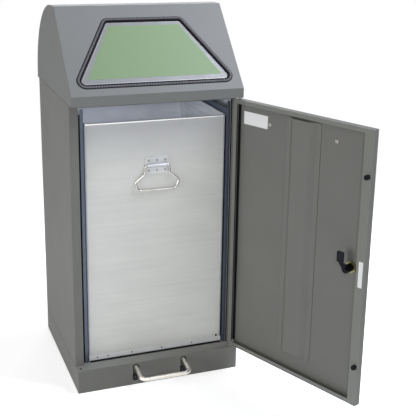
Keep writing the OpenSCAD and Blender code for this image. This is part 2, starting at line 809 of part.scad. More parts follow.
module flap_bearings() {
    color("black") for (side = [-1, 1]) scale([side, 1, 1]) translate([0, shaft_y, shaft_z])
        difference() {
        rod_x(inner_x - flap_bearing_l, inner_x, flap_bearing_r);
        rod_x(inner_x - flap_bearing_l - past, inner_x + past, flap_shaft_r + run_c);
    }
}

// An eye of the link, with a slot for a crank pin
module link_eye() {
    half = crank_pin_r + slot_play;
    difference() {
        box([-eye_t / 2, -eye_l / 2, -eye_h / 2], [eye_t / 2, eye_l / 2, eye_h / 2]);
        for (y = [-1, 1] * slot_slide) translate([0, y, 0]) rod_x(-eye_t, eye_t, half);
        box([-eye_t, -slot_slide, -half], [eye_t, slot_slide, half]);
    }
}

module link_rod() {
    color("silver") translate([link_x, link_y, 0]) {
        translate([0, 0, lower_pin_z]) link_eye();
        translate([0, 0, upper_pin_z]) link_eye();
        translate([0, 0, lower_pin_z + eye_h / 2 - past])
            cylinder(r = link_r, h = upper_pin_z - lower_pin_z - eye_h + 2 * past);
    }
}

module link_guides() {
    color("black") for (z = link_guide_zs) translate([link_x, link_y, z]) difference() {
        box([-link_inset, -link_guide_w / 2, 0], [link_r * 2, link_guide_w / 2, link_guide_h]);
        translate([0, 0, -past]) cylinder(r = link_r + 2 * run_c, h = link_guide_h + 2 * past);
    }
}

// Pedal

module pedal_bar() {
    color("silver") difference() {
        union() {
            translate([0, pedal_bar_y, pedal_bar_z]) rotate([pedal_lean, 0, 0]) bent_bar(
                [[-pedal_span / 2, pedal_leg], [-pedal_span / 2, 0], [pedal_span / 2, 0],
                    [pedal_span / 2, pedal_leg]],
                [0, pedal_bend_r, pedal_bend_r, 0], pedal_bar_r);
            for (x = [-1, 1] * pedal_span / 2) {
                translate([x, knee_y, pedal_knee_z]) sphere(r = pedal_bar_r + joint_bead);
                translate([x, knee_y, pedal_knee_z])
                    rotate([atan2(pedal_shaft_z - pedal_knee_z, pedal_shaft_y - knee_y), 0, 0])
                        rod_y(0, norm([pedal_shaft_z - pedal_knee_z, pedal_shaft_y - knee_y]),
                            pedal_bar_r);
                translate([x, pedal_shaft_y, pedal_shaft_z])
                    rod_x(-pedal_hub_l / 2, pedal_hub_l / 2, pedal_hub_r);
            }
        }
        translate([0, pedal_shaft_y, pedal_shaft_z])
            rod_x(-pedal_span, pedal_span, pedal_shaft_r + run_c);
    }
}

module pedal_shaft() {
    color("silver") translate([0, pedal_shaft_y, pedal_shaft_z])
        rod_x(crank_x - crank_t, pedal_bracket_xs[1] + pedal_shaft_r + 3, pedal_shaft_r);
}

module pedal_crank() {
    color("silver") translate([crank_x, pedal_shaft_y, pedal_shaft_z]) rotate([-pedal_travel / 2, 0, 0])
        crank(pedal_crank_r, pedal_shaft_r + run_c);
}

module pedal_brackets() {
    hole_r = pedal_shaft_r + run_c + bush_wall + run_c;
    low = pedal_shaft_z - pedal_bracket_h / 2;
    color("gray") for (x = pedal_bracket_xs) translate([x, 0, 0]) difference() {
        union() {
            box([0, front_y + sheet_t, low], [pedal_bracket_t, pedal_shaft_y, low + pedal_bracket_h]);
            box([0, front_y + sheet_t, low], [pedal_bracket_flange,
                front_y + sheet_t + pedal_bracket_t, low + pedal_bracket_h]);
            translate([0, pedal_shaft_y, pedal_shaft_z]) rod_x(0, pedal_bracket_t, pedal_bracket_h / 2);
        }
        translate([0, pedal_shaft_y, pedal_shaft_z]) rod_x(-past, pedal_bracket_t + past, hole_r);
    }
}

module pedal_bushes() {
    wall_r = pedal_shaft_r + run_c + bush_wall;
    color("white") for (x = pedal_bracket_xs) translate([x, pedal_shaft_y, pedal_shaft_z]) difference() {
        union() {
            rod_x(-bush_wall, pedal_bracket_t + 1, wall_r);
            rod_x(-bush_wall, 0, wall_r + bush_wall);
        }
        rod_x(-bush_wall - past, pedal_bracket_t + 1 + past, pedal_shaft_r + run_c);
    }
}

// Return spring round the pedal's shaft: one end hooks under the pedal's arm and the other
// bears on the underside of the plinth's top
spring_rings = 12;
spring_count = floor((spring_turns + 0.25) * spring_rings);
spring_end_x = spring_x + spring_pitch * spring_count / spring_rings;
spring_path = concat(
    [[-pedal_span / 2 - 4, -spring_hook_y, spring_hook_z], [spring_x - 3, -spring_hook_y, spring_hook_z],
     [spring_x - 0.5, -spring_hook_y, spring_hook_z - 1.5], [spring_x, -spring_hook_y * 0.6, -spring_r]],
    [for (i = [0:spring_count]) let (a = 180 + 360 * i / spring_rings)
        [spring_x + spring_pitch * i / spring_rings, -spring_r * sin(a), spring_r * cos(a)]],
    [[spring_end_x, spring_r, spring_z - 2], [spring_end_x, spring_r + 1.5, spring_z],
     [spring_end_x, spring_r + 9, spring_z]]);

module pedal_spring() {
    color("silver") translate([0, pedal_shaft_y, pedal_shaft_z]) wire(spring_path, spring_wire_r, 6);
}

module slot_buffers() {
    height = slot_buffer_top - slot_buffer_r - sheet_t;
    color("darkslategray") for (x = [-1, 1] * pedal_span / 2)
        translate([x, front_y + sheet_t + foot_flange_w / 2, sheet_t]) {
            cylinder(r = slot_buffer_r, h = height);
            translate([0, 0, height]) sphere(r = slot_buffer_r);
        }
}

// Container

// A slab with round upright corners, from one corner to the opposite one
module rounded_slab(low, high, r) {
    box([low[0] + r, low[1], low[2]], [high[0] - r, high[1], high[2]]);
    box([low[0], low[1] + r, low[2]], [high[0], high[1] - r, high[2]]);
    for (x = [low[0] + r, high[0] - r], y = [low[1] + r, high[1] - r])
        translate([x, y, low[2]]) cylinder(r = r, h = high[2] - low[2]);
}

// Places its children at each rivet of the handle plate
module at_rivets() {
    for (x = [-1, 0, 1] * rivet_pitch, z = [-1, 1] * rivet_row)
        translate([bay_offset + x, container_y, handle_z + z]) children();
}

// The rolled rim: round bars along the four sides, joined by quarter rings
module rolled_rim() {
    x = container_w / 2 - container_corner_r;
    y0 = container_y + container_corner_r;
    y1 = container_y + container_d - container_corner_r;
    z = container_top - rim_r;
    for (side = [0, container_d]) translate([0, container_y + side, z]) rod_x(-x, x, rim_r, $fn = 32);
    for (side = [-1, 1] * container_w / 2) translate([side, 0, z]) rod_y(y0, y1, rim_r, $fn = 32);
    for (corner = [[x, y1, 0], [-x, y1, 90], [-x, y0, 180], [x, y0, 270]])
        translate([corner[0], corner[1], z]) rotate([0, 0, corner[2]])
            rotate_extrude(angle = 90) translate([container_corner_r, 0]) circle(r = rim_r, $fn = 32);
}

module container() {
    half = container_w / 2;
    back = container_y + container_d;
    color("lightsteelblue") {
        difference() {
            translate([bay_offset, 0, 0]) {
                difference() {
                    rounded_slab([-half, container_y, container_z],
                        [half, back, container_top - rim_r], container_corner_r);
                    rounded_slab([-half + container_t, container_y + container_t,
                        container_z + container_t],
                        [half - container_t, back - container_t, container_top + past],
                            container_corner_r - container_t);
                }
                difference() {
                    rolled_rim();
                    rounded_slab([-half + container_t, container_y + container_t,
                        container_z + container_t],
                        [half - container_t, back - container_t, container_top + past],
                            container_corner_r - container_t);
                }
                for (x = [-1, 1] * skid_span / 2)
                    box([x - skid_w / 2, container_y + skid_w, container_z - skid_h],
                        [x + skid_w / 2, back - skid_w, container_z]);
            }
            at_rivets() rod_y(-past, container_t + past, rivet_r + fit_c);
        }
    }
}

module handle_plate() {
    color("silver") difference() {
        union() {
            box([bay_offset - plate_w / 2, plate_y, handle_z - plate_h / 2],
                [bay_offset + plate_w / 2, container_y, handle_z + plate_h / 2]);
            translate([bay_offset, bead_y, handle_z]) rod_x(-bead_l / 2, bead_l / 2, bead_r);
        }
        translate([bay_offset, bead_y, handle_z]) rod_x(-plate_w, plate_w, bail_r + run_c);
        at_rivets() rod_y(-plate_t - past, past, rivet_r + fit_c);
    }
}

module handle_rivets() {
    color("silver") at_rivets() {
        rod_y(-plate_t, container_t, rivet_r);
        rod_y(-plate_t - rivet_head_h, -plate_t, rivet_head_r);
        rod_y(container_t, container_t + rivet_head_h, rivet_head_r);
    }
}

// The bail's line, half of it, from its end in the bead to the middle of the grip
bail_half = concat(
    [[bail_end, 0], [bail_end + 5, 0]],
    corner_arc([bail_neck, 0], [bail_end, 0], [bail_neck, -bail_neck_h], 3.5),
    corner_arc([bail_neck, -bail_neck_h], [bail_neck, 0], [bail_wide, -bail_wide_z], 8),
    corner_arc([bail_wide, -bail_wide_z], [bail_neck, -bail_neck_h], [bail_grip, -bail_drop], 7),
    corner_arc([bail_grip, -bail_drop], [bail_wide, -bail_wide_z], [0, -bail_drop], 13),
    [[0, -bail_drop]]);
bail_last = len(bail_half) - 1;
bail_line = concat([for (p = bail_half) [p[0], 0, p[1]]],
    [for (i = [bail_last - 1:-1:0]) [-bail_half[i][0], 0, bail_half[i][1]]]);

module bail() {
    color("silver") translate([bay_offset, bead_y, handle_z]) wire(bail_line, bail_r, 18);
}

// Door

module door_panel() {
    color("gray") door_swing() difference() {
        box([-door_half_w, skin_y, door_z0], [door_half_w, lip_y, door_z1]);
        box([-door_half_w + sheet_t, inner_skin_y, door_z0 + sheet_t],
            [door_half_w - sheet_t, lip_y - sheet_t, door_z1 - sheet_t]);
        box([-door_half_w + free_lip_w, inner_skin_y, door_z0 + end_lip_w],
            [door_half_w - hinge_lip_w, lip_y + past, door_z1 - end_lip_w]);
        translate([hinge_x, hinge_y, door_z0 - past])
            cylinder(r = hinge_bush_r + fit_c, h = door_z1 - door_z0 + 2 * past);
        translate([lock_x, 0, lock_z]) rod_y(skin_y - past, inner_skin_y + past, lock_r + fit_c);
        for (x = [-1, 1] * plug_span / 2)
            translate([x, 0, plug_z]) rod_y(skin_y - past, inner_skin_y + past, plug_r + fit_c);
        for (z = door_buffer_zs) translate([-door_half_w + door_buffer_inset, 0, z])
            rod_y(lip_y - sheet_t - past, lip_y + past, door_buffer_r / 2 + fit_c);
    }
}

module door_stiffener() {
    low = door_z0 + stiffener_bottom_gap;
    high = door_z1 - stiffener_top_gap;
    t = stiffener_t;
    w = stiffener_w / 2;
    b = stiffener_base_w / 2;
    c = stiffener_crest_w / 2;
    h = stiffener_h;
    color("gray") door_swing() translate([stiffener_x, inner_skin_y, low])
        linear_extrude(high - low) polygon(rounded([
        [-w, 0, 0], [-b, 0, 0], [-c, h - t, 2], [c, h - t, 2], [b, 0, 0], [w, 0, 0],
        [w, t, 0], [b + t / 2, t, 0], [c + t / 2, h, 3], [-c - t / 2, h, 3], [-b - t / 2, t, 0],
            [-w, t, 0]
    ]));
}

// A hinge bush: its flange lies outside the pan, at z = 0 and below
module hinge_bush() {
    difference() {
        union() {
            cylinder(r = hinge_bush_r, h = hinge_bush_l);
            translate([0, 0, -hinge_flange_h]) cylinder(r = hinge_collar_r, h = hinge_flange_h);
        }
        translate([0, 0, -hinge_flange_h - past]) cylinder(r = hinge_pin_r + run_c,
            h = hinge_bush_l + hinge_flange_h + 2 * past);
    }
}

module door_bushes() {
    color("white") door_swing() {
        translate([hinge_x, hinge_y, door_z0]) hinge_bush();
        translate([hinge_x, hinge_y, door_z1]) mirror([0, 0, 1]) hinge_bush();
    }
}

// A hinge pin: its collar sits on a face at z = 0, its tail goes below and the pin above
module hinge_pin() {
    translate([0, 0, -hinge_pin_tail]) cylinder(r = hinge_pin_r,
        h = hinge_pin_tail + door_end_gap + hinge_pin_reach);
    cylinder(r = hinge_collar_r, h = hinge_collar_h);
}

module lower_hinge_pin() {
    color("silver") translate([hinge_x, hinge_y, plinth_h]) hinge_pin();
}

module upper_hinge_pin() {
    color("silver") translate([hinge_x, hinge_y, hood_z]) mirror([0, 0, 1]) hinge_pin();
}

module door_buffers() {
    height = stile_y - lip_y - seat_c;
    color("black") door_swing() for (z = door_buffer_zs) translate([-door_half_w + door_buffer_inset,
        0, z]) {
        rod_y(lip_y, lip_y + height, door_buffer_r);
        rod_y(lip_y - 2 * sheet_t, lip_y, door_buffer_r / 2);
    }
}

module door_plugs() {
    color("lightgray") door_swing() for (x = [-1, 1] * plug_span / 2) translate([x, 0, plug_z]) {
        rod_y(inner_skin_y, inner_skin_y + sheet_t, plug_head_r);
        rod_y(skin_y - fit_c, inner_skin_y, plug_r);
    }
}

// Lock

module lock_barrel() {
    color("black") door_swing() translate([lock_x, 0, lock_z]) difference() {
        union() {
            rod_y(skin_y, cam_y, lock_r);
            rod_y(skin_y - lock_collar_t, skin_y, lock_collar_r);
        }
        rod_y(cam_y - lock_r, cam_y + past, cam_screw_shank_r + fit_c);
    }
}

module lock_nut() {
    color("goldenrod") door_swing() translate([lock_x, 0, lock_z]) difference() {
        translate([0, inner_skin_y, 0]) rotate([-90, 30, 0]) cylinder(r = nut_w / 2, h = nut_t, $fn = 6);
        rod_y(inner_skin_y - past, inner_skin_y + nut_t + past, lock_r + fit_c);
    }
}

// The cam points up while the lock is open
module lock_cam() {
    back = cam_y + cam_crank + cam_t;
    color("black") door_swing() translate([lock_x, 0, lock_z]) difference() {
        union() {
            rod_y(cam_y, cam_y + cam_t, cam_w / 2);
            box([-cam_w / 2, cam_y, 0], [cam_w / 2, cam_y + cam_t, cam_crank_at]);
            box([-cam_w / 2, cam_y, cam_crank_at - cam_t], [cam_w / 2, back, cam_crank_at]);
            box([-cam_w / 2, back - cam_t, cam_crank_at - cam_t], [cam_w / 2, back, cam_reach]);
        }
        rod_y(cam_y - past, cam_y + cam_t + past, cam_screw_shank_r + fit_c);
    }
}

module lock_screw() {
    color("silver") door_swing() translate([lock_x, 0, lock_z]) {
        rod_y(cam_y - lock_r + past, cam_y + cam_t, cam_screw_shank_r);
        rod_y(cam_y + cam_t, cam_y + cam_t + cam_screw_h, cam_screw_r);
    }
}

plinth();
body_shell();
hood();
opening_trim();
guide_left();
guide_right();
flap();
flap_shaft();
flap_crank();
flap_bearings();
link_rod();
link_guides();
pedal_bar();
pedal_shaft();
pedal_crank();
pedal_brackets();
pedal_bushes();
pedal_spring();
slot_buffers();
container();
handle_plate();
handle_rivets();
bail();
door_panel();
door_stiffener();
door_bushes();
lower_hinge_pin();
upper_hinge_pin();
door_buffers();
door_plugs();
lock_barrel();
lock_nut();
lock_cam();
lock_screw();
hood_screws();
plinth_screws();
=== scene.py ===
"""A pedal recycling bin of painted sheet steel, dressed for a studio photograph."""
import logging
import math
from dataclasses import dataclass
from enum import Enum
from typing import ClassVar, Mapping, Sequence

import bmesh
import bpy
from mathutils import Matrix, Vector


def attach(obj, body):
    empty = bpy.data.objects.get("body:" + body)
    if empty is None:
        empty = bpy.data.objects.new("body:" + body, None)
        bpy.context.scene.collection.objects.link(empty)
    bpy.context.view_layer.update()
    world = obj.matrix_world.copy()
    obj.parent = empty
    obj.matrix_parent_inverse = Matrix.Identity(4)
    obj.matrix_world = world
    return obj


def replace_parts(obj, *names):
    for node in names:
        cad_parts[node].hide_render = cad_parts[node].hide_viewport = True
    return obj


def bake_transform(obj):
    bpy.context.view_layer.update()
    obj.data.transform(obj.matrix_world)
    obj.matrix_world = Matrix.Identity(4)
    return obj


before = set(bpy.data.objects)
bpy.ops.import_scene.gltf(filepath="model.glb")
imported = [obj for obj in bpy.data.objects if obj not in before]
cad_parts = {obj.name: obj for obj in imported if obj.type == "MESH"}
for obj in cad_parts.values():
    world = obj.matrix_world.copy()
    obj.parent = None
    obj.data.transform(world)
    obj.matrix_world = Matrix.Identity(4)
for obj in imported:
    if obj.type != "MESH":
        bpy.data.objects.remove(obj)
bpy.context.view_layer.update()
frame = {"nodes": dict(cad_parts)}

LOG = logging.getLogger("bin")
MM = 0.001
SIDES = ((-1, "left"), (1, "right"))
Pair = tuple[float, float]
Point = tuple[float, float, float]
Form = tuple[list[Point], list[list[int]]]
Tree = bpy.types.NodeTree
Node = bpy.types.Node
Socket = bpy.types.NodeSocket
Paint = str | Socket
Drawing = tuple[dict[str, Socket], Socket]


# Colours and shader nodes


def linear(hex_code: str) -> tuple[float, float, float, float]:
    """Turns an sRGB hex colour into a linear one.

    Args:
        hex_code: The colour as "#rrggbb".

    Returns:
        Red, green, blue and alpha, linear.
    """
    out = []
    for i in (1, 3, 5):
        c = int(hex_code[i:i + 2], 16) / 255
        out.append(c / 12.92 if c <= 0.04045 else ((c + 0.055) / 1.055) ** 2.4)
    return out[0], out[1], out[2], 1.0


def bare_tree(owner: bpy.types.Material | bpy.types.World) -> Tree:
    """Switches the nodes of a material or world on and clears them.

    Args:
        owner: The material or world.

    Returns:
        Its empty node tree.
    """
    owner.use_nodes = True
    owner.node_tree.nodes.clear()
    return owner.node_tree


def add(tree: Tree, kind: str, settings: Mapping[str, object] | None = None,
        inputs: Mapping[str | int, object] | None = None) -> Node:
    """Adds one node with its settings and what feeds it.

    Args:
        tree: The node tree.
        kind: The node's type name.
        settings: Properties of the node.
        inputs: A value or another node's output for each input socket.

    Returns:
        The new node.
    """
    node = tree.nodes.new(kind)
    for name, value in (settings or {}).items():
        setattr(node, name, value)
    for name, value in (inputs or {}).items():
        if isinstance(value, Socket):
            tree.links.new(value, node.inputs[name])
        else:
            node.inputs[name].default_value = value
    return node


def span(low: float, high: float, start: float = 0.3, end: float = 0.7) -> dict[str, float]:
    """Inputs of a Map Range node; without start and end it takes the middle of a noise."""
    return {"From Min": start, "From Max": end, "To Min": low, "To Max": high}


def place(tree: Tree, stretch: Point = (1, 1, 1)) -> Socket:
    """Coordinates in millimetres on the piece, stretched along its axes.

    Args:
        tree: The node tree.
        stretch: How far the pattern is stretched along X, Y and Z.

    Returns:
        The output that carries the coordinates.
    """
    where = add(tree, "ShaderNodeTexCoord")
    scale = tuple(1 / MM / s for s in stretch)
    mapping = add(tree, "ShaderNodeMapping", inputs={
        "Vector": where.outputs["Object"], "Scale": scale})
    return mapping.outputs["Vector"]


def pattern(tree: Tree, size_mm: float = 1.0, detail: float = 2.0,
            stretch: Point = (1, 1, 1)) -> Socket:
    """A cloudy pattern that sticks to the piece.

    Args:
        tree: The node tree.
        size_mm: The size of its spots.
        detail: How many finer layers it has.
        stretch: How far it is stretched along X, Y and Z.

    Returns:
        The pattern, from 0 to 1.
    """
    noise = add(tree, "ShaderNodeTexNoise", inputs={
        "Vector": place(tree, stretch), "Scale": 1 / size_mm, "Detail": detail})
    return noise.outputs["Fac"]


def within(tree: Tree, where: Socket, across: Pair, deep: Pair) -> Socket:
    """Finds what lies within one span along X and another along Y.

    Args:
        tree: The node tree.
        where: The coordinates.
        across: Where the span along X starts and ends.
        deep: Where the span along Y starts and ends.

    Returns:
        A mask that is 1 there.
    """
    spot = add(tree, "ShaderNodeSeparateXYZ", inputs={"Vector": where})
    near = [add(tree, "ShaderNodeMath", {"operation": "COMPARE"}, {
        0: spot.outputs[axis], 1: (low + high) / 2, 2: (high - low) / 2}).outputs["Value"]
        for axis, (low, high) in (("X", across), ("Y", deep))]
    both = add(tree, "ShaderNodeMath", {"operation": "MULTIPLY"}, {0: near[0], 1: near[1]})
    return both.outputs["Value"]


def layers(tree: Tree, ground: Paint, *coats: tuple[Socket, Paint]) -> Socket:
    """Lays colours over a ground, each as far as its mask says.

    Args:
        tree: The node tree.
        ground: The lowest colour, as a hex value or another node's output.
        coats: Mask and colour of each layer, from the lowest up.

    Returns:
        The colour of the whole.
    """
    for mask, colour in coats:
        below, above = (linear(c) if isinstance(c, str) else c for c in (ground, colour))
        mix = add(tree, "ShaderNodeMix", {"data_type": "RGBA"}, {0: mask, 6: below, 7: above})
        ground = mix.outputs[2]
    return ground


# Finishes


@dataclass(frozen=True)
class Finish:
    """A surface finish that makes its material once.

    Its colour drifts to a shade close to it, and swing is what its roughness gains where the
    pattern of its gloss is low and high.
    """

    process: ClassVar[str] = "finish"
    made: ClassVar[dict[str, bpy.types.Material]] = {}

    name: str
    colour: str
    shade: str
    rough: float = 0.5
    metal: float = 0.0
    swing: Pair = (-0.05, 0.05)
    specular: float = 0.5
    depth_mm: float = 0.01
    edge_mm: float = 0.5

    @property
    def title(self) -> str:
        """The material's name."""
        return f"{self.process}_{self.name}"

    def draw(self, tree: Tree) -> Drawing:
        """Draws what feeds the shader, and the height of the relief."""
        raise NotImplementedError

    def material(self) -> bpy.types.Material:
        """Makes the finish's material at its first use, with slightly rounded edges.

        Returns:
            The material.
        """
        if self.title not in Finish.made:
            mat = Finish.made[self.title] = bpy.data.materials.new(self.title)
            tree = bare_tree(mat)
            fed, height = self.draw(tree)
            edge = add(tree, "ShaderNodeBevel", {"samples": 4}, {"Radius": self.edge_mm * MM})
            bump = add(tree, "ShaderNodeBump", inputs={
                "Strength": 1.0, "Distance": self.depth_mm * MM, "Height": height,
                "Normal": edge.outputs["Normal"]})
            shader = add(tree, "ShaderNodeBsdfPrincipled", inputs={
                "Metallic": self.metal, "Specular IOR Level": self.specular,
                "Normal": bump.outputs["Normal"], **fed})
            add(tree, "ShaderNodeOutputMaterial", inputs={"Surface": shader.outputs["BSDF"]})
        return Finish.made[self.title]

    def drift(self, tree: Tree, size_mm: float, detail: float = 2.0) -> Socket:
        """Lets the colour drift to its shade and back.

        Args:
            tree: The node tree.
            size_mm: The size of the shaded spots.
            detail: How many finer layers they have.

        Returns:
            The colour.
        """
        mask = add(tree, "ShaderNodeMapRange", inputs={
            "Value": pattern(tree, size_mm, detail), **span(0, 1)})
        return layers(tree, self.shade, (mask.outputs["Result"], self.colour))

    def gloss(self, tree: Tree, value: Socket, *ends: float) -> Socket:
        """Breaks the gloss up by a pattern.

        Args:
            tree: The node tree.
            value: The pattern.
            ends: Where the pattern is low and high, if it isn't a noise.

        Returns:
            The roughness.
        """
        rough = add(tree, "ShaderNodeMapRange", inputs={
            "Value": value, **span(*(self.rough + gain for gain in self.swing), *ends)})
        return rough.outputs["Result"]


@dataclass(frozen=True)
class PowderCoat(Finish):
    """Polyester powder coat, sprayed and baked on sheet steel.

    The powder flows out to a faint orange peel of about 2 mm with soft, wide highlights. What
    faces up can get a colour of its own: on the plinth a paler one, as painted light, on the
    door a darker one, as painted shade. The lips of the open door can be painted a shade paler.
    Real powder grains are 0.05 mm wide; the grain of the gloss is drawn 0.9 mm wide, so that it
    shows.
    """

    process: ClassVar[str] = "powder_coat"
    rough: float = 0.58
    specular: float = 0.3
    swing: Pair = (-0.05, 0.07)
    depth_mm: float = 0.035
    edge_mm: float = 0.9
    peel_mm: float = 2.2
    grain_mm: float = 0.9
    drift_mm: float = 140.0
    # The colour painted on what faces up: paler as painted light, darker as painted shade.
    painted_upward_shading: str = ""
    up_z: Pair = (0.6, 0.95)
    lips: str = ""
    lip_x: Pair = (160.0, 162.0)
    lip_y: Pair = (-168.5, -167.8)
    hinge: Point = (191.5, -174.0, 0.0)
    open_angle: float = 112.6

    def top_mask(self, tree: Tree) -> Socket:
        """Finds what faces up, where the painted shading goes.

        Args:
            tree: The node tree.

        Returns:
            A mask that is 1 there.
        """
        normal = add(tree, "ShaderNodeNewGeometry").outputs["Normal"]
        facing = add(tree, "ShaderNodeSeparateXYZ", inputs={"Vector": normal})
        mask = add(tree, "ShaderNodeMapRange", inputs={
            "Value": facing.outputs["Z"], **span(0, 1, *self.up_z)})
        return mask.outputs["Result"]

    def lip_mask(self, tree: Tree) -> Socket:
        """Finds the door's lips, in the place that they have when it is shut.

        Args:
            tree: The node tree.

        Returns:
            A mask that is 1 there, apart from the lip along the hinges.
        """
        shut = add(tree, "ShaderNodeVectorRotate", {"rotation_type": "Z_AXIS"}, {
            "Vector": place(tree), "Center": self.hinge,
            "Angle": -math.radians(self.open_angle)})
        spot = add(tree, "ShaderNodeSeparateXYZ", inputs={"Vector": shut.outputs["Vector"]})
        raised = add(tree, "ShaderNodeMapRange", inputs={
            "Value": spot.outputs["Y"], **span(0, 1, *self.lip_y)})
        away = add(tree, "ShaderNodeMapRange", inputs={
            "Value": spot.outputs["X"], **span(1, 0, *self.lip_x)})
        both = add(tree, "ShaderNodeMath", {"operation": "MULTIPLY"}, {
            0: raised.outputs["Result"], 1: away.outputs["Result"]})
        return both.outputs["Value"]

    def draw(self, tree: Tree) -> Drawing:
        """Draws the coat: slow shade changes, painted shading, orange peel and a satin gloss.

        Args:
            tree: The node tree.

        Returns:
            What feeds the shader, and the relief's height.
        """
        paint = self.drift(tree, self.drift_mm, detail=3.0)
        # Painted light and shade on what faces up, then the paler colour of the door's lips.
        if self.painted_upward_shading:
            paint = layers(tree, paint, (self.top_mask(tree), self.painted_upward_shading))
        if self.lips:
            paint = layers(tree, paint, (self.lip_mask(tree), self.lips))
        rough = self.gloss(tree, pattern(tree, self.grain_mm, detail=1.0))
        return {"Base Color": paint, "Roughness": rough}, pattern(tree, self.peel_mm)


@dataclass(frozen=True)
class GalvanisedSheet(Finish):
    """Hot-dip galvanised sheet, rolled and left bare.

    Zinc crystals, about 10 mm across, show as faint cells of slightly different brightness,
    and the skin pass leaves long streaks and a soft metallic sheen without sharp reflections.
    """

    process: ClassVar[str] = "galvanised"
    edge_mm: float = 0.7
    swing: Pair = (0.05, -0.05)
    spangle_mm: float = 12.0
    warp_mm: float = 14.0
    warp: float = 0.12
    streak_mm: Point = (30, 30, 400)
    spangle_share: float = 0.35

    def draw(self, tree: Tree) -> Drawing:
        """Draws the zinc: crystal cells, streaks of the rolling and a dull gloss.

        Args:
            tree: The node tree.

        Returns:
            What feeds the shader, and the relief's height.
        """
        where = place(tree)
        bend = add(tree, "ShaderNodeTexNoise", inputs={
            "Vector": where, "Scale": 1 / self.warp_mm, "Detail": 2.0})
        bent = add(tree, "ShaderNodeMix", {"data_type": "VECTOR"}, {
            0: self.warp, 4: where, 5: bend.outputs["Color"]})
        cells = add(tree, "ShaderNodeTexVoronoi", inputs={
            "Vector": bent.outputs[1], "Scale": 1 / self.spangle_mm})
        grey = add(tree, "ShaderNodeSeparateColor", inputs={"Color": cells.outputs["Color"]})
        streak = add(tree, "ShaderNodeMapRange", inputs={
            "Value": pattern(tree, detail=4.0, stretch=self.streak_mm),
            **span(0, 1 - self.spangle_share)})
        blend = add(tree, "ShaderNodeMath", {"operation": "MULTIPLY_ADD"}, {
            0: grey.outputs["Red"], 1: self.spangle_share, 2: streak.outputs["Result"]})
        mixed = blend.outputs["Value"]
        return {"Base Color": layers(tree, self.shade, (mixed, self.colour)),
                "Roughness": self.gloss(tree, mixed, 0, 1)}, grey.outputs["Green"]


@dataclass(frozen=True)
class BinZinc(Finish):
    """Electro-galvanised sheet of the container, rolled across.

    The rolling leaves fine level lines. The top is painted a shade darker as painted shade, the
    rim and the right edge carry a painted highlight, and the inside is painted paler as painted
    light. Real rolling lines lie 0.2 mm apart; these are 3 mm apart, so that they show.
    """

    process: ClassVar[str] = "zinc"
    rough: float = 0.47
    depth_mm: float = 0.012
    lines_mm: Point = (320, 60, 3.0)
    cloud_mm: Point = (90, 60, 45)
    # Painted shade on the top, painted light inside, and a painted highlight on the rim and
    # right edge.
    painted_top_shade: str = "#bfc1c4"
    painted_top_shade_z: Pair = (520.0, 625.0)
    inside: str = "#f4f7fb"
    inside_shade: str = "#e6eaf0"
    inner_x: Pair = (-163.5, 171.5)
    inner_y: Pair = (-145.5, 169.5)
    bright: str = "#fbfcfc"
    rim_z: float = 636.4
    edge_x: float = 169.6
    metals: Pair = (0.25, 0.85)
    highlight_gloss: float = -0.2

    def draw(self, tree: Tree) -> Drawing:
        """Draws the zinc: level lines, a top darkened as painted shade, an inside paled as
        painted light and edges with a painted highlight.

        Args:
            tree: The node tree.

        Returns:
            What feeds the shader, and the relief's height.
        """
        spot = add(tree, "ShaderNodeSeparateXYZ", inputs={"Vector": place(tree)})
        lines = pattern(tree, stretch=self.lines_mm)
        cloud = pattern(tree, detail=3.0, stretch=self.cloud_mm)
        # Masks: the top's painted shade, the inside's drift, and the level lines and clouds.
        top, inner, *halves = (
            add(tree, "ShaderNodeMapRange", inputs={"Value": value, **ends}).outputs["Result"]
            for value, ends in ((spot.outputs["Z"], span(0, 1, *self.painted_top_shade_z)),
                                (cloud, span(0, 1)), (lines, span(0, 0.5)),
                                (cloud, span(0, 0.5))))
        blend = add(tree, "ShaderNodeMath", {"operation": "ADD"}, {0: halves[0], 1: halves[1]})
        # The rim and the right edge, which get a painted highlight, more metal and more gloss.
        past = [add(tree, "ShaderNodeMath", {"operation": "GREATER_THAN"}, {
            0: spot.outputs[axis], 1: limit}).outputs["Value"]
            for axis, limit in (("Z", self.rim_z), ("X", self.edge_x))]
        highlight_mask = add(tree, "ShaderNodeMath", {"operation": "MAXIMUM"}, {
            0: past[0], 1: past[1]}).outputs["Value"]
        # The inside, painted paler and less metallic as painted light.
        inside = within(tree, place(tree), self.inner_x, self.inner_y)
        pale = layers(tree, self.inside_shade, (inner, self.inside))
        # Painted shade on the top, painted light inside and a painted highlight on rim and edge.
        paint = layers(tree, self.shade, (blend.outputs["Value"], self.colour),
                       (top, self.painted_top_shade), (inside, pale), (highlight_mask, self.bright))
        bare = add(tree, "ShaderNodeMapRange", inputs={
            "Value": highlight_mask, **span(*self.metals, 0, 1)})
        metal = add(tree, "ShaderNodeMath", {"operation": "SUBTRACT", "use_clamp": True}, {
            0: bare.outputs["Result"], 1: inside})
        gloss = add(tree, "ShaderNodeMath", {"operation": "MULTIPLY_ADD"}, {
            0: highlight_mask, 1: self.highlight_gloss, 2: self.gloss(tree, lines)})
        return {"Base Color": paint, "Metallic": metal.outputs["Value"],
                "Roughness": gloss.outputs["Value"]}, lines


@dataclass(frozen=True)
class PlatedSteel(Finish):
    """Steel wire and pressings with a thin bright plate.

    The plate follows the drawing or pressing marks, so the gloss is broken into fine streaks.
    Real marks are finer than 0.1 mm; these are 1 mm wide, so that they show.
    """

    process: ClassVar[str] = "plated"
    metal: float = 1.0
    swing: Pair = (-0.07, 0.1)
    depth_mm: float = 0.008
    edge_mm: float = 0.4
    mark_mm: float = 1.2
    stretch: Point = (1, 1, 1)
    stain_mm: float = 25.0

    def draw(self, tree: Tree) -> Drawing:
        """Draws the plate: stains in its colour and marks in its gloss.

        Args:
            tree: The node tree.

        Returns:
            What feeds the shader, and the relief's height.
        """
        marks = pattern(tree, self.mark_mm, detail=4.0, stretch=self.stretch)
        return {"Base Color": self.drift(tree, self.stain_mm, detail=3.0),
                "Roughness": self.gloss(tree, marks)}, marks


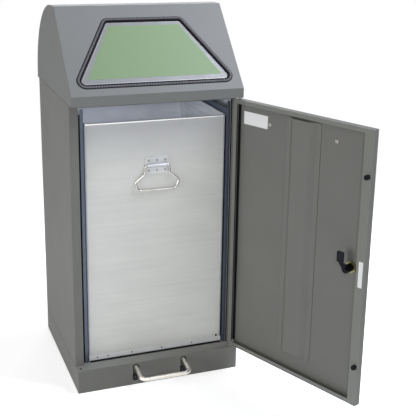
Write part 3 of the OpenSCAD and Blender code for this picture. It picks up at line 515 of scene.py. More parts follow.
@dataclass(frozen=True)
class Moulded(Finish):
    """Rubber or plastic pressed in a spark-eroded mould.

    The mould leaves a fine even grain that breaks up the reflection, and dust lies in it. Real
    grain is 0.1 mm wide; this is drawn 0.8 mm wide, so that it shows.
    """

    process: ClassVar[str] = "moulded"
    swing: Pair = (-0.06, 0.08)
    depth_mm: float = 0.03
    edge_mm: float = 0.3
    grain_mm: float = 0.8
    dust_mm: float = 18.0

    def draw(self, tree: Tree) -> Drawing:
        """Draws the moulding: grain and a little dust in it.

        Args:
            tree: The node tree.

        Returns:
            What feeds the shader, and the relief's height.
        """
        grain = pattern(tree, self.grain_mm)
        return {"Base Color": self.drift(tree, self.dust_mm, detail=4.0),
                "Roughness": self.gloss(tree, grain)}, grain


@dataclass(frozen=True)
class PrintedFilm(Finish):
    """Self-adhesive vinyl film, screen printed in one colour.

    The ink lies flat and even with a satin gloss, and the glue leaves a slight waviness. Real
    ink has a grain of 0.2 mm; this is drawn 1 mm wide, so that it shows.
    """

    process: ClassVar[str] = "film"
    swing: Pair = (-0.03, 0.05)
    depth_mm: float = 0.05
    edge_mm: float = 0.15
    wave_mm: float = 35.0
    ink_mm: float = 1.0

    def draw(self, tree: Tree) -> Drawing:
        """Draws the film: even ink and a slight waviness of the glue.

        Args:
            tree: The node tree.

        Returns:
            What feeds the shader, and the relief's height.
        """
        rough = self.gloss(tree, pattern(tree, self.ink_mm, detail=1.0))
        return ({"Base Color": self.drift(tree, self.wave_mm), "Roughness": rough},
                pattern(tree, self.wave_mm))


class Coat(Enum):
    """The finishes of this bin."""

    BODY = PowderCoat("grey", "#787975", "#747571")
    # The plinth's ledge is painted paler where it faces up, as painted light.
    PLINTH = PowderCoat("plinth", "#787975", "#747571", painted_upward_shading="#8d8e8a")
    HOOD = PowderCoat("hood", "#7a7c7b", "#777978")
    # The door is painted darker where it faces up, as painted shade, and its lips a shade paler.
    DOOR = PowderCoat("door", "#767773", "#72736f", painted_upward_shading="#565754", lips="#80827d")
    STIFFENER = PowderCoat("stiffener", "#787975", "#747571", edge_mm=3.0)
    FLAP = GalvanisedSheet("flap", "#7d7f80", "#767879", 0.46, 0.2, spangle_mm=7.0)
    ZINC = BinZinc("container", "#dbdcd8", "#cecfcc")
    ZINC_COLD = GalvanisedSheet("panel", "#626b7a", "#525b6a", 0.36, 0.55)
    # Near-white zinc: painted light on the bay's liner.
    ZINC_LINER = GalvanisedSheet("liner", "#f2f5f8", "#e4e9ef", 0.4, 0.1)
    # Pale zinc: painted light against the shade at the container's foot.
    HEM = GalvanisedSheet("hem", "#e7e8ea", "#dcdde0", 0.45, 0.1)
    # A painted highlight: the bright line on the band along the flap's edge.
    EDGE_HIGHLIGHT = GalvanisedSheet("edge", "#9a9b9c", "#929395", 0.42, 0.25, spangle_mm=7.0)
    PRESSING = PlatedSteel("pressing", "#c6c8ca", "#b4b6b9", 0.34)
    BAR = PlatedSteel("bar", "#e2ddd6", "#d6d1ca", 0.4, mark_mm=1.0, stretch=(6, 6, 6))
    WIRE = PlatedSteel("wire", "#d2d0cb", "#b8b6b2", 0.17)
    SPRING = PlatedSteel("spring", "#8f9092", "#7e7f82", 0.38)
    RIVET = PlatedSteel("rivet", "#a3a29f", "#8f8e8b", 0.42)
    BRASS = PlatedSteel("brass", "#9d9472", "#7f7954", 0.36)
    BLACKENED = PlatedSteel("blackened", "#24262c", "#1b1c21", 0.36)
    # Black rubber, and also the black that paints shadow in gaps, a hole, a hem and a key slot.
    RUBBER_AND_SHADOW = Moulded("rubber_black", "#09090b", "#0e0e10", 0.75, specular=0.15)
    TRIM = Moulded("rubber_trim", "#55545a", "#4a494f", 0.5, specular=0.4, depth_mm=0.02,
                   grain_mm=0.7)
    JOINT = Moulded("joint", "#3a3b3b", "#323333", 0.7)
    BUFFER = Moulded("rubber_grey", "#37393d", "#2e3034", 0.6, specular=0.3)
    HEM_LINE = Moulded("hem_line", "#5a5b5e", "#515255", 0.55)
    NYLON = Moulded("nylon_white", "#dcdbd4", "#d2d1ca", 0.45)
    NYLON_BLACK = Moulded("nylon_black", "#232325", "#2a2a2c", 0.45)
    PLUG = Moulded("plug", "#c4bcb6", "#b6aea9", 0.5)
    SCORCH = Moulded("scorch", "#77797b", "#6a6c6f", 0.6)
    GREEN = PrintedFilm("green", "#728b65", "#718a64", 0.55)
    PAPER = PrintedFilm("white", "#f4f5f6", "#eff0f1", 0.5)


NODE_COATS: dict[str, Coat] = {node: coat for coat, nodes in {
    Coat.PLINTH: "plinth", Coat.BODY: "body_shell", Coat.HOOD: "hood",
    Coat.TRIM: "opening_trim", Coat.ZINC_COLD: "guide_left guide_right", Coat.FLAP: "flap",
    Coat.BAR: "flap_shaft pedal_bar pedal_shaft lower_hinge_pin upper_hinge_pin",
    Coat.PRESSING: "flap_crank link_rod pedal_crank pedal_brackets handle_plate hood_screws "
                   "plinth_screws",
    Coat.NYLON_BLACK: "flap_bearings link_guides", Coat.NYLON: "pedal_bushes door_bushes",
    Coat.SPRING: "pedal_spring", Coat.BUFFER: "slot_buffers", Coat.ZINC: "container",
    Coat.RIVET: "handle_rivets", Coat.WIRE: "bail", Coat.DOOR: "door_panel",
    Coat.STIFFENER: "door_stiffener", Coat.RUBBER_AND_SHADOW: "door_buffers", Coat.PLUG: "door_plugs",
    Coat.BRASS: "lock_nut", Coat.BLACKENED: "lock_barrel lock_cam lock_screw",
}.items() for node in nodes.split()}


# Meshes


def wear(obj: bpy.types.Object, coat: Coat) -> None:
    """Gives a CAD node's own material slots a finish.

    Args:
        obj: The node's object.
        coat: The finish.
    """
    if not obj.material_slots:
        obj.data.materials.append(None)
    for slot in obj.material_slots:
        slot.link = "OBJECT"
        slot.material = coat.value.material()


def stand(name: str, data: bpy.types.ID) -> bpy.types.Object:
    """Makes an object and puts it into the scene.

    Args:
        name: The object's name.
        data: Its mesh, light or camera.

    Returns:
        The object.
    """
    obj = bpy.data.objects.new(name, data)
    bpy.context.scene.collection.objects.link(obj)
    return obj


def piece(name: str, form: Form, coat: Coat, body: str, matrix: Matrix | None = None,
          smooth: bool = False) -> bpy.types.Object:
    """Makes one piece from points in millimetres.

    Args:
        name: The piece's name.
        form: Its points, in millimetres, and its faces.
        coat: Its finish.
        body: The CAD body that it rides on.
        matrix: Where the points go, in metres.
        smooth: True for smooth shading.

    Returns:
        The piece.
    """
    mesh = bpy.data.meshes.new(name)
    mesh.from_pydata([Vector(p) * MM for p in form[0]], [], form[1])
    if matrix is not None:
        mesh.transform(matrix)
    work = bmesh.new()
    work.from_mesh(mesh)
    bmesh.ops.recalc_face_normals(work, faces=work.faces)
    work.to_mesh(mesh)
    work.free()
    if smooth:
        mesh.shade_smooth()
    obj = stand(name, mesh)
    mesh.materials.append(coat.value.material())
    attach(obj, body)
    LOG.info("%s: %d faces on %s", name, len(mesh.polygons), body)
    return obj


def upright(out: tuple[int, int], at: Point = (0, 0, 0)) -> Matrix:
    """A plane that stands upright: its X is level, its Y is up and its Z points out of it.

    Args:
        out: The way out of the plane, along the model's X and Y.
        at: The plane's origin, in millimetres.

    Returns:
        The plane's matrix, in metres.
    """
    level = (1, 0) if out[1] else (0, 1)
    turn = Matrix(((level[0], 0, out[0], 0), (level[1], 0, out[1], 0), (0, 1, 0, 0),
                   (0, 0, 0, 1)))
    return Matrix.Translation(Vector(at) * MM) @ turn


def slab(outline: Sequence[Pair], low: float, high: float) -> Form:
    """A flat outline with a thickness.

    Args:
        outline: Points in the plane, in order.
        low: Height of the back.
        high: Height of the front.

    Returns:
        Points and faces.
    """
    n = len(outline)
    points = [(x, y, low) for x, y in outline] + [(x, y, high) for x, y in outline]
    faces = [list(range(n))[::-1], list(range(n, 2 * n))]
    faces += [[i, (i + 1) % n, n + (i + 1) % n, n + i] for i in range(n)]
    return points, faces


def looped(rows: int, across: int) -> list[list[int]]:
    """Faces between rows of points that close on themselves both ways.

    Args:
        rows: How many rows there are.
        across: How many points each has.

    Returns:
        The faces.
    """
    return [[k * across + i, k * across + (i + 1) % across,
             (k + 1) % rows * across + (i + 1) % across, (k + 1) % rows * across + i]
            for k in range(rows) for i in range(across)]


def turned(profile: Sequence[Pair], steps: int = 32) -> Form:
    """A profile turned about the Z axis.

    Args:
        profile: Radius and height of each point; a radius of 0 closes an end.
        steps: Points round the axis.

    Returns:
        Points and faces.
    """
    points: list[Point] = []
    rings: list[list[int]] = []
    for r, z in profile:
        start = len(points)
        count = 1 if r == 0 else steps
        points += [(r * math.cos(math.tau * k / steps), r * math.sin(math.tau * k / steps), z)
                   for k in range(count)]
        rings.append(list(range(start, start + count)))
    faces = []
    for a, b in zip(rings, rings[1:]):
        for k in range(steps):
            quad = [a[k % len(a)], a[(k + 1) % len(a)], b[(k + 1) % len(b)], b[k % len(b)]]
            faces.append(list(dict.fromkeys(quad)))
    return points, faces


def rounded(corners: Sequence[Point], steps: int = 10) -> list[Pair]:
    """An outline with a radius at each corner.

    Args:
        corners: x, y and radius of each corner, in order.
        steps: Points on each corner's arc.

    Returns:
        The outline's points.
    """
    out = []
    n = len(corners)
    for i, (x, y, r) in enumerate(corners):
        p = Vector((x, y))
        u = (Vector(corners[i - 1][:2]) - p).normalized()
        v = (Vector(corners[(i + 1) % n][:2]) - p).normalized()
        if r <= 0:
            out.append((x, y))
            continue
        half = u.angle(v) / 2
        centre = p + (u + v).normalized() * r / math.sin(half)
        a = p + u * r / math.tan(half) - centre
        b = p + v * r / math.tan(half) - centre
        sweep = a.angle_signed(b)
        start = math.atan2(a.y, a.x)
        for k in range(steps + 1):
            t = start - sweep * k / steps
            out.append((centre.x + r * math.cos(t), centre.y + r * math.sin(t)))
    return out


def oblong(level: Pair, rise: Pair, radius: float = 0.0, steps: int = 4) -> list[Pair]:
    """A rectangle with rounded corners.

    Args:
        level: Where it starts and ends along X.
        rise: Where it starts and ends along Y.
        radius: The radius of its corners.
        steps: Points on each corner's arc.

    Returns:
        The outline's points.
    """
    (x0, x1), (y0, y1) = level, rise
    return rounded([(x0, y0, radius), (x1, y0, radius), (x1, y1, radius), (x0, y1, radius)],
                   steps)


def trapezoid(low: Point, high: Point, steps: int = 10) -> list[Pair]:
    """A trapezoid about the Y axis with rounded corners.

    Args:
        low: Half its width, its place along Y and its corners' radius at the bottom.
        high: The same at the top.
        steps: Points on each corner's arc.

    Returns:
        The outline's points.
    """
    (w0, y0, r0), (w1, y1, r1) = low, high
    return rounded([(-w0, y0, r0), (w0, y0, r0), (w1, y1, r1), (-w1, y1, r1)], steps)


# Sub-assemblies


@dataclass
class Slope:
    """The hood's slope: X across, Y up from the fold, Z out of the sheet."""

    front: float = -185.0
    fold: float = 709.5
    roof: float = 885.0
    run: float = 163.0

    def matrix(self) -> Matrix:
        """Where the slope's plane lies, in metres."""
        turn = Matrix.Rotation(math.atan2(self.roof - self.fold, self.run), 4, "X")
        return Matrix.Translation((0, self.front * MM, self.fold * MM)) @ turn


@dataclass
class Opening:
    """The chute opening's edge trim, and what the flap shows inside it."""

    slope: Slope
    start: float = 24.3
    length: float = 173.7
    bottom: float = 372.0
    top: float = 181.0
    bottom_r: float = 15.3
    top_r: float = 11.3
    corner_steps: int = 24
    half: float = 4.75
    front: float = 3.0
    back: float = -4.0
    lip: float = 1.2
    rib_pitch: float = 6.2
    rib_depth: float = 1.5
    rib_form: tuple[float, ...] = (0.0, 0.4, 1.0, 1.0, 0.4)
    film_s: Pair = (43.0, 183.0)
    film_half: Pair = (156.0, 84.0)
    film_r: float = 1.2
    flap_face: float = -4.3
    panel: float = -1.7
    clear: float = 1.2
    band_w: Point = (2.2, 1.6, 1.3)
    band_r: Pair = (6.0, 4.5)
    band_t: Pair = (0.12, 0.1)
    film_t: float = 0.15
    sunk: float = 0.1

    def line(self) -> list[tuple[Vector, Vector]]:
        """Walks round the opening's edge in even steps, some for each rib.

        Returns:
            Each step's point and its outward direction.
        """
        corners = trapezoid((self.bottom / 2, self.start, self.bottom_r),
                            (self.top / 2, self.start + self.length, self.top_r),
                            self.corner_steps)
        raw = [Vector(p) for p in corners]
        spans = [(raw[(i + 1) % len(raw)] - p).length for i, p in enumerate(raw)]
        total = sum(spans)
        count = int(total / self.rib_pitch) * len(self.rib_form)
        out, i, gone = [], 0, 0.0
        for k in range(count):
            want = total * k / count
            while gone + spans[i] < want:
                gone += spans[i]
                i += 1
            out.append(raw[i].lerp(raw[(i + 1) % len(raw)], (want - gone) / spans[i]))
        pairs = []
        for k, p in enumerate(out):
            along = (out[(k + 1) % count] - out[k - 1]).normalized()
            pairs.append((p, Vector((along.y, -along.x))))
        return pairs

    def sweep(self, name: str, section: Sequence[Point], coat: Coat) -> bpy.types.Object:
        """Sweeps a section round the opening.

        Args:
            name: The piece's name.
            section: Outward place, height and share of the ribs of each point.
            coat: Its finish.

        Returns:
            The piece.
        """
        line = self.line()
        points: list[Point] = []
        for k, (p, out) in enumerate(line):
            dip = self.rib_form[k % len(self.rib_form)] * self.rib_depth
            for outward, height, ribs in section:
                q = p + out * outward
                points.append((q.x, q.y, height - dip * ribs))
        form = points, looped(len(line), len(section))
        return piece(name, form, coat, "cabinet", self.slope.matrix(), smooth=True)

    def trim(self) -> None:
        """Builds the trim: a gripping profile, and the ribbed bead on its outer half."""
        h, f, b, lip = self.half, self.front, self.back, self.lip
        grip = [(-h, b + 0.6, 0), (-h, lip - 0.9, 0), (-h + 0.3, lip - 0.3, 0),
                (-h + 0.9, lip, 0), (-h + 2.2, lip, 0), (-h + 3.0, lip - 0.4, 0),
                (-1.0, lip - 0.5, 0), (0.0, lip - 0.4, 0), (h, lip - 0.4, 0),
                (h + 0.9, 0.7, 0), (h + 1.3, 0.12, 0), (0.12, 0.12, 0), (0.12, -1.62, 0),
                (h - 0.6, -1.62, 0), (h - 0.6, b + 0.6, 0), (h - 1.4, b, 0),
                (-h + 0.8, b, 0)]
        bead = [(-0.9, lip - 0.45, 0), (-0.7, f - 1.1, 0.3), (0.0, f - 0.3, 0.8), (1.0, f, 1),
                (2.2, f, 1), (3.2, f - 0.25, 1), (3.9, f - 0.9, 0.7), (4.2, lip - 0.45, 0)]
        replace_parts(self.sweep("opening_edge_trim", grip, Coat.RUBBER_AND_SHADOW), "opening_trim")
        self.sweep("opening_edge_bead", bead, Coat.TRIM)

    def ring(self, gaps: Point, radii: Pair) -> list[Pair]:
        """An outline of the flap inside the trim.

        Args:
            gaps: Distance from the trim's inner edge at the bottom, the sides and the top.
            radii: Radius of the bottom and the top corners.

        Returns:
            The outline's points.
        """
        low, side, top = gaps
        lean = (self.bottom - self.top) / 2 / self.length
        s0 = self.start + self.half + low
        s1 = self.start + self.length - self.half - top
        w0, w1 = (self.bottom / 2 - lean * (s - self.start)
                  - (self.half + side) * math.hypot(1, lean) for s in (s0, s1))
        return trapezoid((w0, s0, radii[0]), (w1, s1, radii[1]))

    def band(self) -> None:
        """Builds the flap's raised panel, and the raised band along its edge, painted bright as
        a highlight.
        """
        c = self.clear
        outer = self.ring((c, c, c), tuple(r - self.half - c
                                           for r in (self.bottom_r, self.top_r)))
        inner = self.ring(tuple(c + w for w in self.band_w), self.band_r)
        piece("flap_panel", slab(outer, self.flap_face - self.sunk, self.panel), Coat.FLAP,
              "flap", self.slope.matrix())
        root = -2 * self.sunk
        levels = ((outer, root), (outer, self.band_t[0]), (inner, self.band_t[1]), (inner, root))
        points = [(x, y, self.panel + z) for ring, z in levels for x, y in ring]
        # The band is painted bright: a painted highlight along the flap's edge.
        piece("flap_edge_band", (points, looped(len(levels), len(outer))), Coat.EDGE_HIGHLIGHT,
              "flap", self.slope.matrix())

    def film(self) -> None:
        """Lays the plain green film on the flap."""
        low, high = ((w, s, self.film_r) for w, s in zip(self.film_half, self.film_s))
        outline = trapezoid(low, high, steps=4)
        piece("flap_film", slab(outline, self.panel - self.sunk, self.panel + self.film_t),
              Coat.GREEN, "flap", self.slope.matrix())


@dataclass
class Door:
    """What the door carries, placed as if it were shut and then turned to where it stands."""

    hinge: Pair = (191.5, -174.0)
    angle: float = 112.6
    skin: float = -180.5
    lip: float = -166.0
    pan_label: tuple[Pair, Pair] = ((103, 177), (626, 656))
    lip_label: tuple[Pair, Pair] = ((-194, -183), (339.5, 398))
    paper: Pair = (-0.02, 0.16)
    plug_x: float = 95.5
    plug_z: float = 638.0
    lock_x: float = -154.0
    lock_z: float = 373.0
    lock_front: float = -184.0
    key_w: Pair = (-0.9, 0.9)
    key_h: Pair = (-4.2, 4.2)
    key_t: Pair = (-0.5, -0.3)
    cam_y: float = -160.0
    cam_half: float = 9.0
    cam_flat: float = 0.4
    cam_reach: float = 39.0
    cam_r: float = 4.0
    cam_bend: Pair = (12.0, 15.0)
    cam_step: Pair = (10.5, 5.5)
    cam_t: float = 2.0
    # The black strip in the hinge hem paints the shadow under the hinge lip.
    hem_shadow_corner: Pair = (196.4, -180.4)
    hem_shadow_z: Pair = (74.0, 672.0)

    def matrix(self) -> Matrix:
        """Turns the shut door's place to where it stands."""
        pin = Matrix.Translation((self.hinge[0] * MM, self.hinge[1] * MM, 0))
        return pin @ Matrix.Rotation(math.radians(self.angle), 4, "Z") @ pin.inverted()

    def on_face(self, x: float, y: float, z: float) -> Matrix:
        """From this place: X along the door, Y up and Z towards the cabinet."""
        return self.matrix() @ upright((0, 1), (x, y, z))

    def labels(self) -> None:
        """Puts the bare paper labels on the skin and on the free lip."""
        for name, box, y in (("pan_label", self.pan_label, self.skin),
                             ("lip_label", self.lip_label, self.lip)):
            piece(name, slab(oblong(*box, radius=1, steps=3), *self.paper), Coat.PAPER, "door",
                  self.on_face(0, y, 0))

    def plugs(self) -> None:
        """Builds the ring-shaped heads of the two plugs."""
        section = [(0, 0.6), (1.1, 0.6), (1.4, 1.0), (1.7, 1.9), (2.3, 2.35), (3.3, 2.3),
                   (4.0, 1.8), (4.45, 0.9), (4.5, 0.0), (0, 0.0)]
        rings = [piece(f"plug_ring_{i}", turned(section, steps=36), Coat.PLUG, "door",
                       self.on_face(x, self.skin, self.plug_z), smooth=True)
                 for i, x in enumerate((-self.plug_x, self.plug_x))]
        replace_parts(rings[0], "door_plugs")

    def hem_shadow(self) -> None:
        """Lays the black strip that paints the shadow in the hem along the hinges, with a grey
        line in it.
        """
        x, y = self.hem_shadow_corner
        section = [(0.0, 0.0), (-9.4, 0.0), (-9.4, 1.0), (-6.6, 2.4), (-5.8, 6.0),
                   (-4.6, 6.0), (-4.0, 2.6), (-1.6, 3.0), (-1.2, 8.6), (-8.0, 8.6),
                   (-8.0, 9.4), (-1.2, 9.4), (-1.2, 11.6), (0.0, 11.6)]
        rib = oblong((x - 9.3, x - 7.4), (y + 8.0, y + 10.0), radius=0.8)
        for name, outline, coat in (
                ("hinge_hem_shadow_strip", [(x + a, y + b) for a, b in section], Coat.RUBBER_AND_SHADOW),
                ("hinge_hem_line", rib, Coat.HEM_LINE)):
            piece(name, slab(outline, *self.hem_shadow_z), coat, "door", self.matrix())

    def cam(self) -> None:
        """Builds the lock's cam: a round hub, a slanting neck and a joggled tongue."""
        half, (aside, inward), end = self.cam_half, self.cam_step, self.cam_r
        hub = [(math.cos(a), max(math.sin(a), self.cam_flat / half))
               for a in map(math.radians, range(0, 91, 10))]
        tip = [(math.sin(a), math.cos(a)) for a in map(math.radians, range(0, 91, 15))]
        rows = [(-half * rise, 0.0, half * wide, 0.0) for rise, wide in hub]
        rows += [(z, aside, half, depth) for z, depth in zip(self.cam_bend, (0.0, inward))]
        rows += [(self.cam_reach - end + end * rise, aside, half - end + end * wide, inward)
                 for rise, wide in tip]
        points = [(middle + side * wide, z, depth + thick) for z, middle, wide, depth in rows
                  for side, thick in ((-1, 0.0), (1, 0.0), (1, self.cam_t), (-1, self.cam_t))]
        last = 4 * (len(rows) - 1)
        faces = [[0, 1, 2, 3], [last + 3, last + 2, last + 1, last]]
        faces += looped(len(rows), 4)[:last]  # All but those from the last row to the first.
        tongue = piece("cam_tongue", (points, faces), Coat.BLACKENED, "cam",
                       self.on_face(self.lock_x, self.cam_y, self.lock_z))
        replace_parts(tongue, "lock_cam")

    def keyway(self) -> None:
        """Sets the key's disc and slot into the lock's face outside."""
        where = self.on_face(self.lock_x, self.lock_front, self.lock_z)
        disc = [(0, -0.35), (1.1, -0.35), (6.6, -0.4), (7.2, -0.1), (7.2, 0.1), (0, 0.1)]
        piece("key_disc", turned(disc, steps=40), Coat.PRESSING, "door", where, smooth=True)
        # The slot is a black slab on the disc: a painted shadow of the keyway.
        slot = oblong(self.key_w, self.key_h, radius=0.4)
        piece("key_slot", slab(slot, *self.key_t), Coat.RUBBER_AND_SHADOW, "door", where)


@dataclass
class Cabinet:
    """Joints, black pieces that paint shadow in its gaps, its liner with painted light, and its
    shaft's caps.
    """

    half_w: float = 200.0
    stile_y: float = -158.5
    back_y: float = 185.0
    plinth_z: float = 58.0
    hood_z: float = 687.0
    joint_h: float = 1.1
    joint_t: Pair = (-0.3, 0.12)
    shaft: Pair = (-32.67, 848.82)
    # Black strips at the stile's edges paint the shadow in its gaps.
    shadow_strip_x: tuple[Pair, ...] = ((180.3, 183.0), (195.2, 199.4))
    shadow_strip_t: Pair = (-0.3, 0.35)
    bay_z: Pair = (62.0, 680.0)
    # A black sheet in the bay paints the shadow under the container.
    mat: tuple[Pair, Pair] = ((-163.0, 171.0), (-152.0, 168.0))
    shadow_sheet_t: Pair = (0.02, 1.2)
    # The liner is painted near-white, as painted light.
    liner: tuple[Pair, Pair] = ((-154.0, 60.0), (600.0, 679.0))
    liner_x: float = 197.4
    liner_t: float = 0.8
    # A black disc paints the shade inside the spare hinge hole.
    spare_hole: Pair = (-191.5, -174.0)
    shade_disc_sunk: float = 0.9

    def joint(self, name: str, level: Pair, z: float, where: Matrix) -> None:
        """Draws a joint as a thin dark line.

        Args:
            name: The piece's name.
            level: Where it starts and ends along its plane.
            z: Its height.
            where: Its plane.
        """
        line = oblong(level, (z - self.joint_h / 2, z + self.joint_h / 2))
        piece(name, slab(line, *self.joint_t), Coat.JOINT, "cabinet", where)

    def joints(self) -> None:
        """Draws the joints of plinth and hood on the sides and the back."""
        for name, z in (("plinth", self.plinth_z), ("hood", self.hood_z)):
            for side, word in SIDES:
                self.joint(f"{name}_joint_{word}", (self.stile_y, self.back_y), z,
                           upright((side, 0), (side * self.half_w, 0, 0)))
        self.joint("plinth_joint_back", (-self.half_w, self.half_w), self.plinth_z,
                   upright((0, 1), (0, self.back_y, 0)))

    def gaps(self) -> None:
        """Builds black strips, a sheet and a disc that paint shadow, and the liner with painted
        light.
        """
        # Painted shadow: black strips at the stile's edges.
        for i, level in enumerate(self.shadow_strip_x):
            piece(f"stile_shadow_strip_{i}", slab(oblong(level, self.bay_z), *self.shadow_strip_t),
                  Coat.RUBBER_AND_SHADOW, "cabinet", upright((0, -1), (0, self.stile_y, 0)))
        # Painted shadow: a black sheet under the container.
        low, high = (self.plinth_z + t for t in self.shadow_sheet_t)
        mat = oblong(*self.mat, radius=4.0, steps=5)
        piece("bay_shadow_sheet", slab(mat, low, high), Coat.RUBBER_AND_SHADOW, "cabinet")
        # Painted shade: a black disc inside the spare hole.
        hole = Vector((*self.spare_hole, self.plinth_z - self.shade_disc_sunk)) * MM
        disc = [(0, 0.4), (3.4, 0.4), (3.4, 0.0), (0, 0.0)]
        piece("spare_hole_shade_disc", turned(disc, steps=24), Coat.RUBBER_AND_SHADOW, "cabinet",
              Matrix.Translation(hole))
        # Painted light: the near-white liner.
        piece("bay_liner", slab(oblong(*self.liner), 0.0, self.liner_t), Coat.ZINC_LINER,
              "cabinet", upright((1, 0), (self.liner_x, 0, 0)))

    def caps(self) -> None:
        """Builds the painted heads that close the ends of the flap's shaft."""
        head = [(0, 0.9), (1.6, 0.85), (3.0, 0.55), (3.8, 0.1), (4.0, -0.2), (0, -0.2)]
        for side, word in SIDES:
            piece(f"shaft_cap_{word}", turned(head), Coat.HOOD, "cabinet",
                  upright((side, 0), (side * self.half_w, *self.shaft)), smooth=True)


@dataclass
class Pedal:
    """The return spring under the pedal's arm."""

    x: float = -90.0
    hook_y: Pair = (-137.2, -140.4)
    z: float = 30.0

    def spring(self, node: bpy.types.Object) -> None:
        """Copies the spring's mesh into a piece of its own, in place of the CAD node.

        Args:
            node: The CAD node of the spring.
        """
        mesh = node.data.copy()
        mesh.name = "return_spring"
        mesh.transform(node.matrix_world)
        mesh.materials.clear()
        mesh.materials.append(Coat.SPRING.value.material())
        mesh.shade_smooth()
        obj = stand("return_spring", mesh)
        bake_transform(obj)
        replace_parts(obj, "pedal_spring")
        LOG.info("return_spring: %d faces between cabinet and pedal", len(mesh.polygons))


@dataclass
class Bucket:
    """The folded hem along the container's foot, its spot welds and the stop's rivet."""

    front: float = -146.0
    hem_x: Pair = (-164.0, 172.0)
    hem_z: Pair = (60.2, 71.6)
    hem_t: float = 0.45
    hem_sunk: float = 0.6
    weld_x: tuple[float, ...] = (-144.0, -118.0, -58.0, 17.0, 95.0)
    weld_z: float = 66.4
    stop: Pair = (160.0, 76.0)

    def hem(self) -> None:
        """Folds the sheet double along the foot, down to the skids."""
        # The hem is painted pale: painted light against the shade at the foot.
        outline = oblong(self.hem_x, self.hem_z, radius=0.5, steps=3)
        piece("foot_hem", slab(outline, -self.hem_sunk, self.hem_t), Coat.HEM, "container",
              upright((0, -1), (0, self.front, 0)))

    def welds(self) -> None:
        """Builds the shallow dished spot welds and the stop's black rivet."""
        dish = [(0, 0.02), (0.6, 0.05), (1.2, 0.22), (1.6, 0.3), (2.0, 0.2), (2.2, 0.0)]
        for i, x in enumerate(self.weld_x):
            piece(f"spot_weld_{i}", turned(dish, steps=24), Coat.SCORCH, "container",
                  upright((0, -1), (x, self.front - self.hem_t, self.weld_z)),
                  smooth=True)
        x, z = self.stop
        head = [(0, 0.5), (1.8, 0.5), (2.6, 0.35), (3.0, 0.0)]
        piece("stop_rivet", turned(head, steps=28), Coat.BLACKENED, "container",
              upright((0, -1), (x, self.front, z)), smooth=True)


# Studio


@dataclass(frozen=True)
class Softbox:
    """A square lamp: place, target and side in metres, power in watts, and its light's tone."""

    name: str
    where: Point
    target: Point
    size: float
    watts: float
    tone: str = "#ffffff"

    def hang(self) -> None:
        """Hangs the lamp and turns it to its target."""
        data = bpy.data.lights.new(self.name, "AREA")
        data.color = linear(self.tone)[:3]
        data.shape, data.size, data.energy = "SQUARE", self.size, self.watts
        obj = stand(self.name, data)
        obj.visible_camera = False
        obj.location = self.where
        aim = Vector(self.target) - Vector(self.where)
        obj.rotation_euler = aim.to_track_quat("-Z", "Y").to_euler()


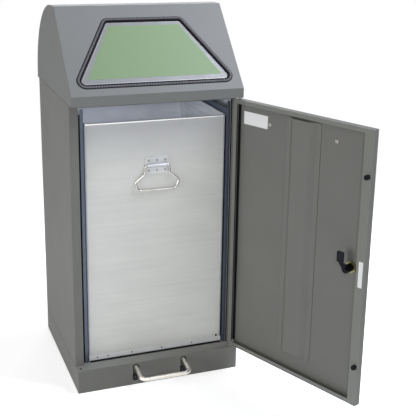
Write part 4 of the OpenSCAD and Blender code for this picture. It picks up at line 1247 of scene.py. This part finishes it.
@dataclass
class Studio:
    """The pale floor, the soft light and the camera at the photograph's angle."""

    lamps: tuple[Softbox, ...] = (
        Softbox("top_softbox", (1.3, -0.6, 2.3), (0.0, -0.1, 0.8), 1.2, 62.0, "#eff3ff"),
        Softbox("low_softbox", (-2.4, -1.0, 0.6), (0.0, -0.2, 0.4), 1.0, 21.5, "#fffefc"),
        Softbox("front_softbox", (-0.62, -2.5, 1.24), (0.0, 0.0, 0.6), 0.36, 14.0, "#fffffc"),
        Softbox("high_softbox", (-1.0, -2.4, 2.3), (0.0, -0.2, 0.4), 1.0, 6.0, "#fffffc"),
        Softbox("right_softbox", (3.0, 0.6, 1.5), (0.0, 0.0, 0.5), 2.0, 28.0),
        Softbox("back_softbox", (0.7, 3.0, 1.3), (0.0, 0.0, 0.5), 2.0, 42.0),
        Softbox("chute_fill", (-0.13, -0.06, 0.69), (0.1, 0.17, 0.6), 0.16, 0.2, "#e6ecff"),
    )
    room: str = "#f7f8fa"
    room_glow: float = 0.08
    floor_half: float = 2.0
    floor_paint: str = "#e9eaeb"
    floor_glow: float = 0.64
    floor_fade: Pair = (0.8, 1.9)
    plinth_half: Pair = (200.0, 185.0)
    sensor_mm: float = 36.0
    frame_px: float = 416.0
    focal_px: float = 890.0
    axis_px: Pair = (208.0, 171.0)
    place_mm: Point = (-595.0, -2028.0, 1098.0)
    yaw: float = -21.09
    pitch: float = 16.33
    roll: float = 1.05

    def camera(self) -> None:
        """Stands the camera where the photograph's was."""
        data = bpy.data.cameras.new("camera")
        data.sensor_width = self.sensor_mm
        data.lens = self.focal_px * self.sensor_mm / self.frame_px
        data.shift_x = (self.frame_px / 2 - self.axis_px[0]) / self.frame_px
        data.shift_y = (self.axis_px[1] - self.frame_px / 2) / self.frame_px
        data.clip_start, data.clip_end = 0.05, 50.0
        cam = stand("camera", data)
        cam.matrix_world = Matrix.Translation(Vector(self.place_mm) * MM)
        for angle, axis in ((self.yaw, "Z"), (90 - self.pitch, "X"), (self.roll, "Z")):
            cam.matrix_world @= Matrix.Rotation(math.radians(angle), 4, axis)
        bpy.context.scene.camera = cam

    def seen(self, tree: Tree) -> Socket:
        """Finds the rays that see the background: from the camera, by gloss, through glass.

        Args:
            tree: The node tree.

        Returns:
            An output that is 1 for such rays.
        """
        path = add(tree, "ShaderNodeLightPath")
        any_ray = path.outputs["Is Camera Ray"]
        for kind in ("Is Transmission Ray", "Is Glossy Ray"):
            any_ray = add(tree, "ShaderNodeMath", {"operation": "MAXIMUM"}, {
                0: any_ray, 1: path.outputs[kind]}).outputs["Value"]
        return any_ray

    def world(self) -> None:
        """Lights the room evenly and shows it white."""
        world = bpy.data.worlds.new("room")
        tree = bare_tree(world)
        soft = add(tree, "ShaderNodeBackground", inputs={
            "Color": linear(self.room), "Strength": self.room_glow})
        white = add(tree, "ShaderNodeBackground", inputs={
            "Color": (1, 1, 1, 1), "Strength": 1.0})
        mix = add(tree, "ShaderNodeMixShader", inputs={
            0: self.seen(tree), 1: soft.outputs["Background"], 2: white.outputs["Background"]})
        add(tree, "ShaderNodeOutputWorld", inputs={"Surface": mix.outputs["Shader"]})
        bpy.context.scene.world = world

    def floor(self) -> None:
        """Lays the pale floor, which keeps the soft shadow and is dark under the plinth."""
        mesh = bpy.data.meshes.new("floor")
        h = self.floor_half
        mesh.from_pydata([(-h, -h, 0), (h, -h, 0), (h, h, 0), (-h, h, 0)], [], [[0, 1, 2, 3]])
        mat = bpy.data.materials.new("studio_floor")
        self.draw_floor(bare_tree(mat))
        mesh.materials.append(mat)
        stand("floor", mesh)

    def draw_floor(self, tree: Tree) -> None:
        """Draws the floor: paint that glows where it is open and fades out far away.

        Args:
            tree: The node tree.
        """
        where = add(tree, "ShaderNodeTexCoord").outputs["Object"]
        under = within(tree, where, *((-half * MM, half * MM) for half in self.plinth_half))
        open_floor = add(tree, "ShaderNodeMath", {"operation": "SUBTRACT"}, {0: 1.0, 1: under})
        share = add(tree, "ShaderNodeMath", {"operation": "MULTIPLY"}, {
            0: open_floor.outputs["Value"], 1: self.seen(tree)})
        paint = add(tree, "ShaderNodeBsdfDiffuse", inputs={"Color": linear(self.floor_paint)})
        glow = add(tree, "ShaderNodeEmission", inputs={
            "Color": (1, 1, 1, 1), "Strength": self.floor_glow})
        both = add(tree, "ShaderNodeAddShader", inputs={
            0: paint.outputs["BSDF"], 1: glow.outputs["Emission"]})
        mix = add(tree, "ShaderNodeMixShader", inputs={
            0: share.outputs["Value"], 1: paint.outputs["BSDF"], 2: both.outputs["Shader"]})
        away = add(tree, "ShaderNodeVectorMath", {"operation": "LENGTH"}, {0: where})
        fade = add(tree, "ShaderNodeMapRange", {"interpolation_type": "SMOOTHSTEP"}, {
            "Value": away.outputs["Value"], **span(0, 1, *self.floor_fade)})
        clear = add(tree, "ShaderNodeBsdfTransparent")
        whole = add(tree, "ShaderNodeMixShader", inputs={
            0: fade.outputs["Result"], 1: mix.outputs["Shader"], 2: clear.outputs["BSDF"]})
        add(tree, "ShaderNodeOutputMaterial", inputs={"Surface": whole.outputs["Shader"]})

    def build(self) -> None:
        """Sets up the whole studio."""
        self.camera()
        self.world()
        self.floor()
        for lamp in self.lamps:
            lamp.hang()
        bpy.context.scene.view_settings.view_transform = "Standard"


def dress_frame(nodes: Mapping[str, bpy.types.Object]) -> None:
    """Gives every node of the CAD model its finish.

    Args:
        nodes: The CAD nodes by name.
    """
    for name, obj in nodes.items():
        wear(obj, NODE_COATS[name])
        LOG.info("%s: %s", name, NODE_COATS[name].value.title)


def main() -> None:
    """Builds the studio and dresses the bin."""
    logging.basicConfig(level=logging.INFO, format="%(message)s")
    Studio().build()
    dress_frame(frame["nodes"])
    cabinet = Cabinet()
    cabinet.joints()
    cabinet.caps()
    cabinet.gaps()
    Pedal().spring(frame["nodes"]["pedal_spring"])
    opening = Opening(Slope())
    opening.trim()
    opening.film()
    opening.band()
    door = Door()
    door.labels()
    door.plugs()
    door.keyway()
    door.cam()
    door.hem_shadow()
    bucket = Bucket()
    bucket.hem()
    bucket.welds()


if __name__ == "__main__":
    main()
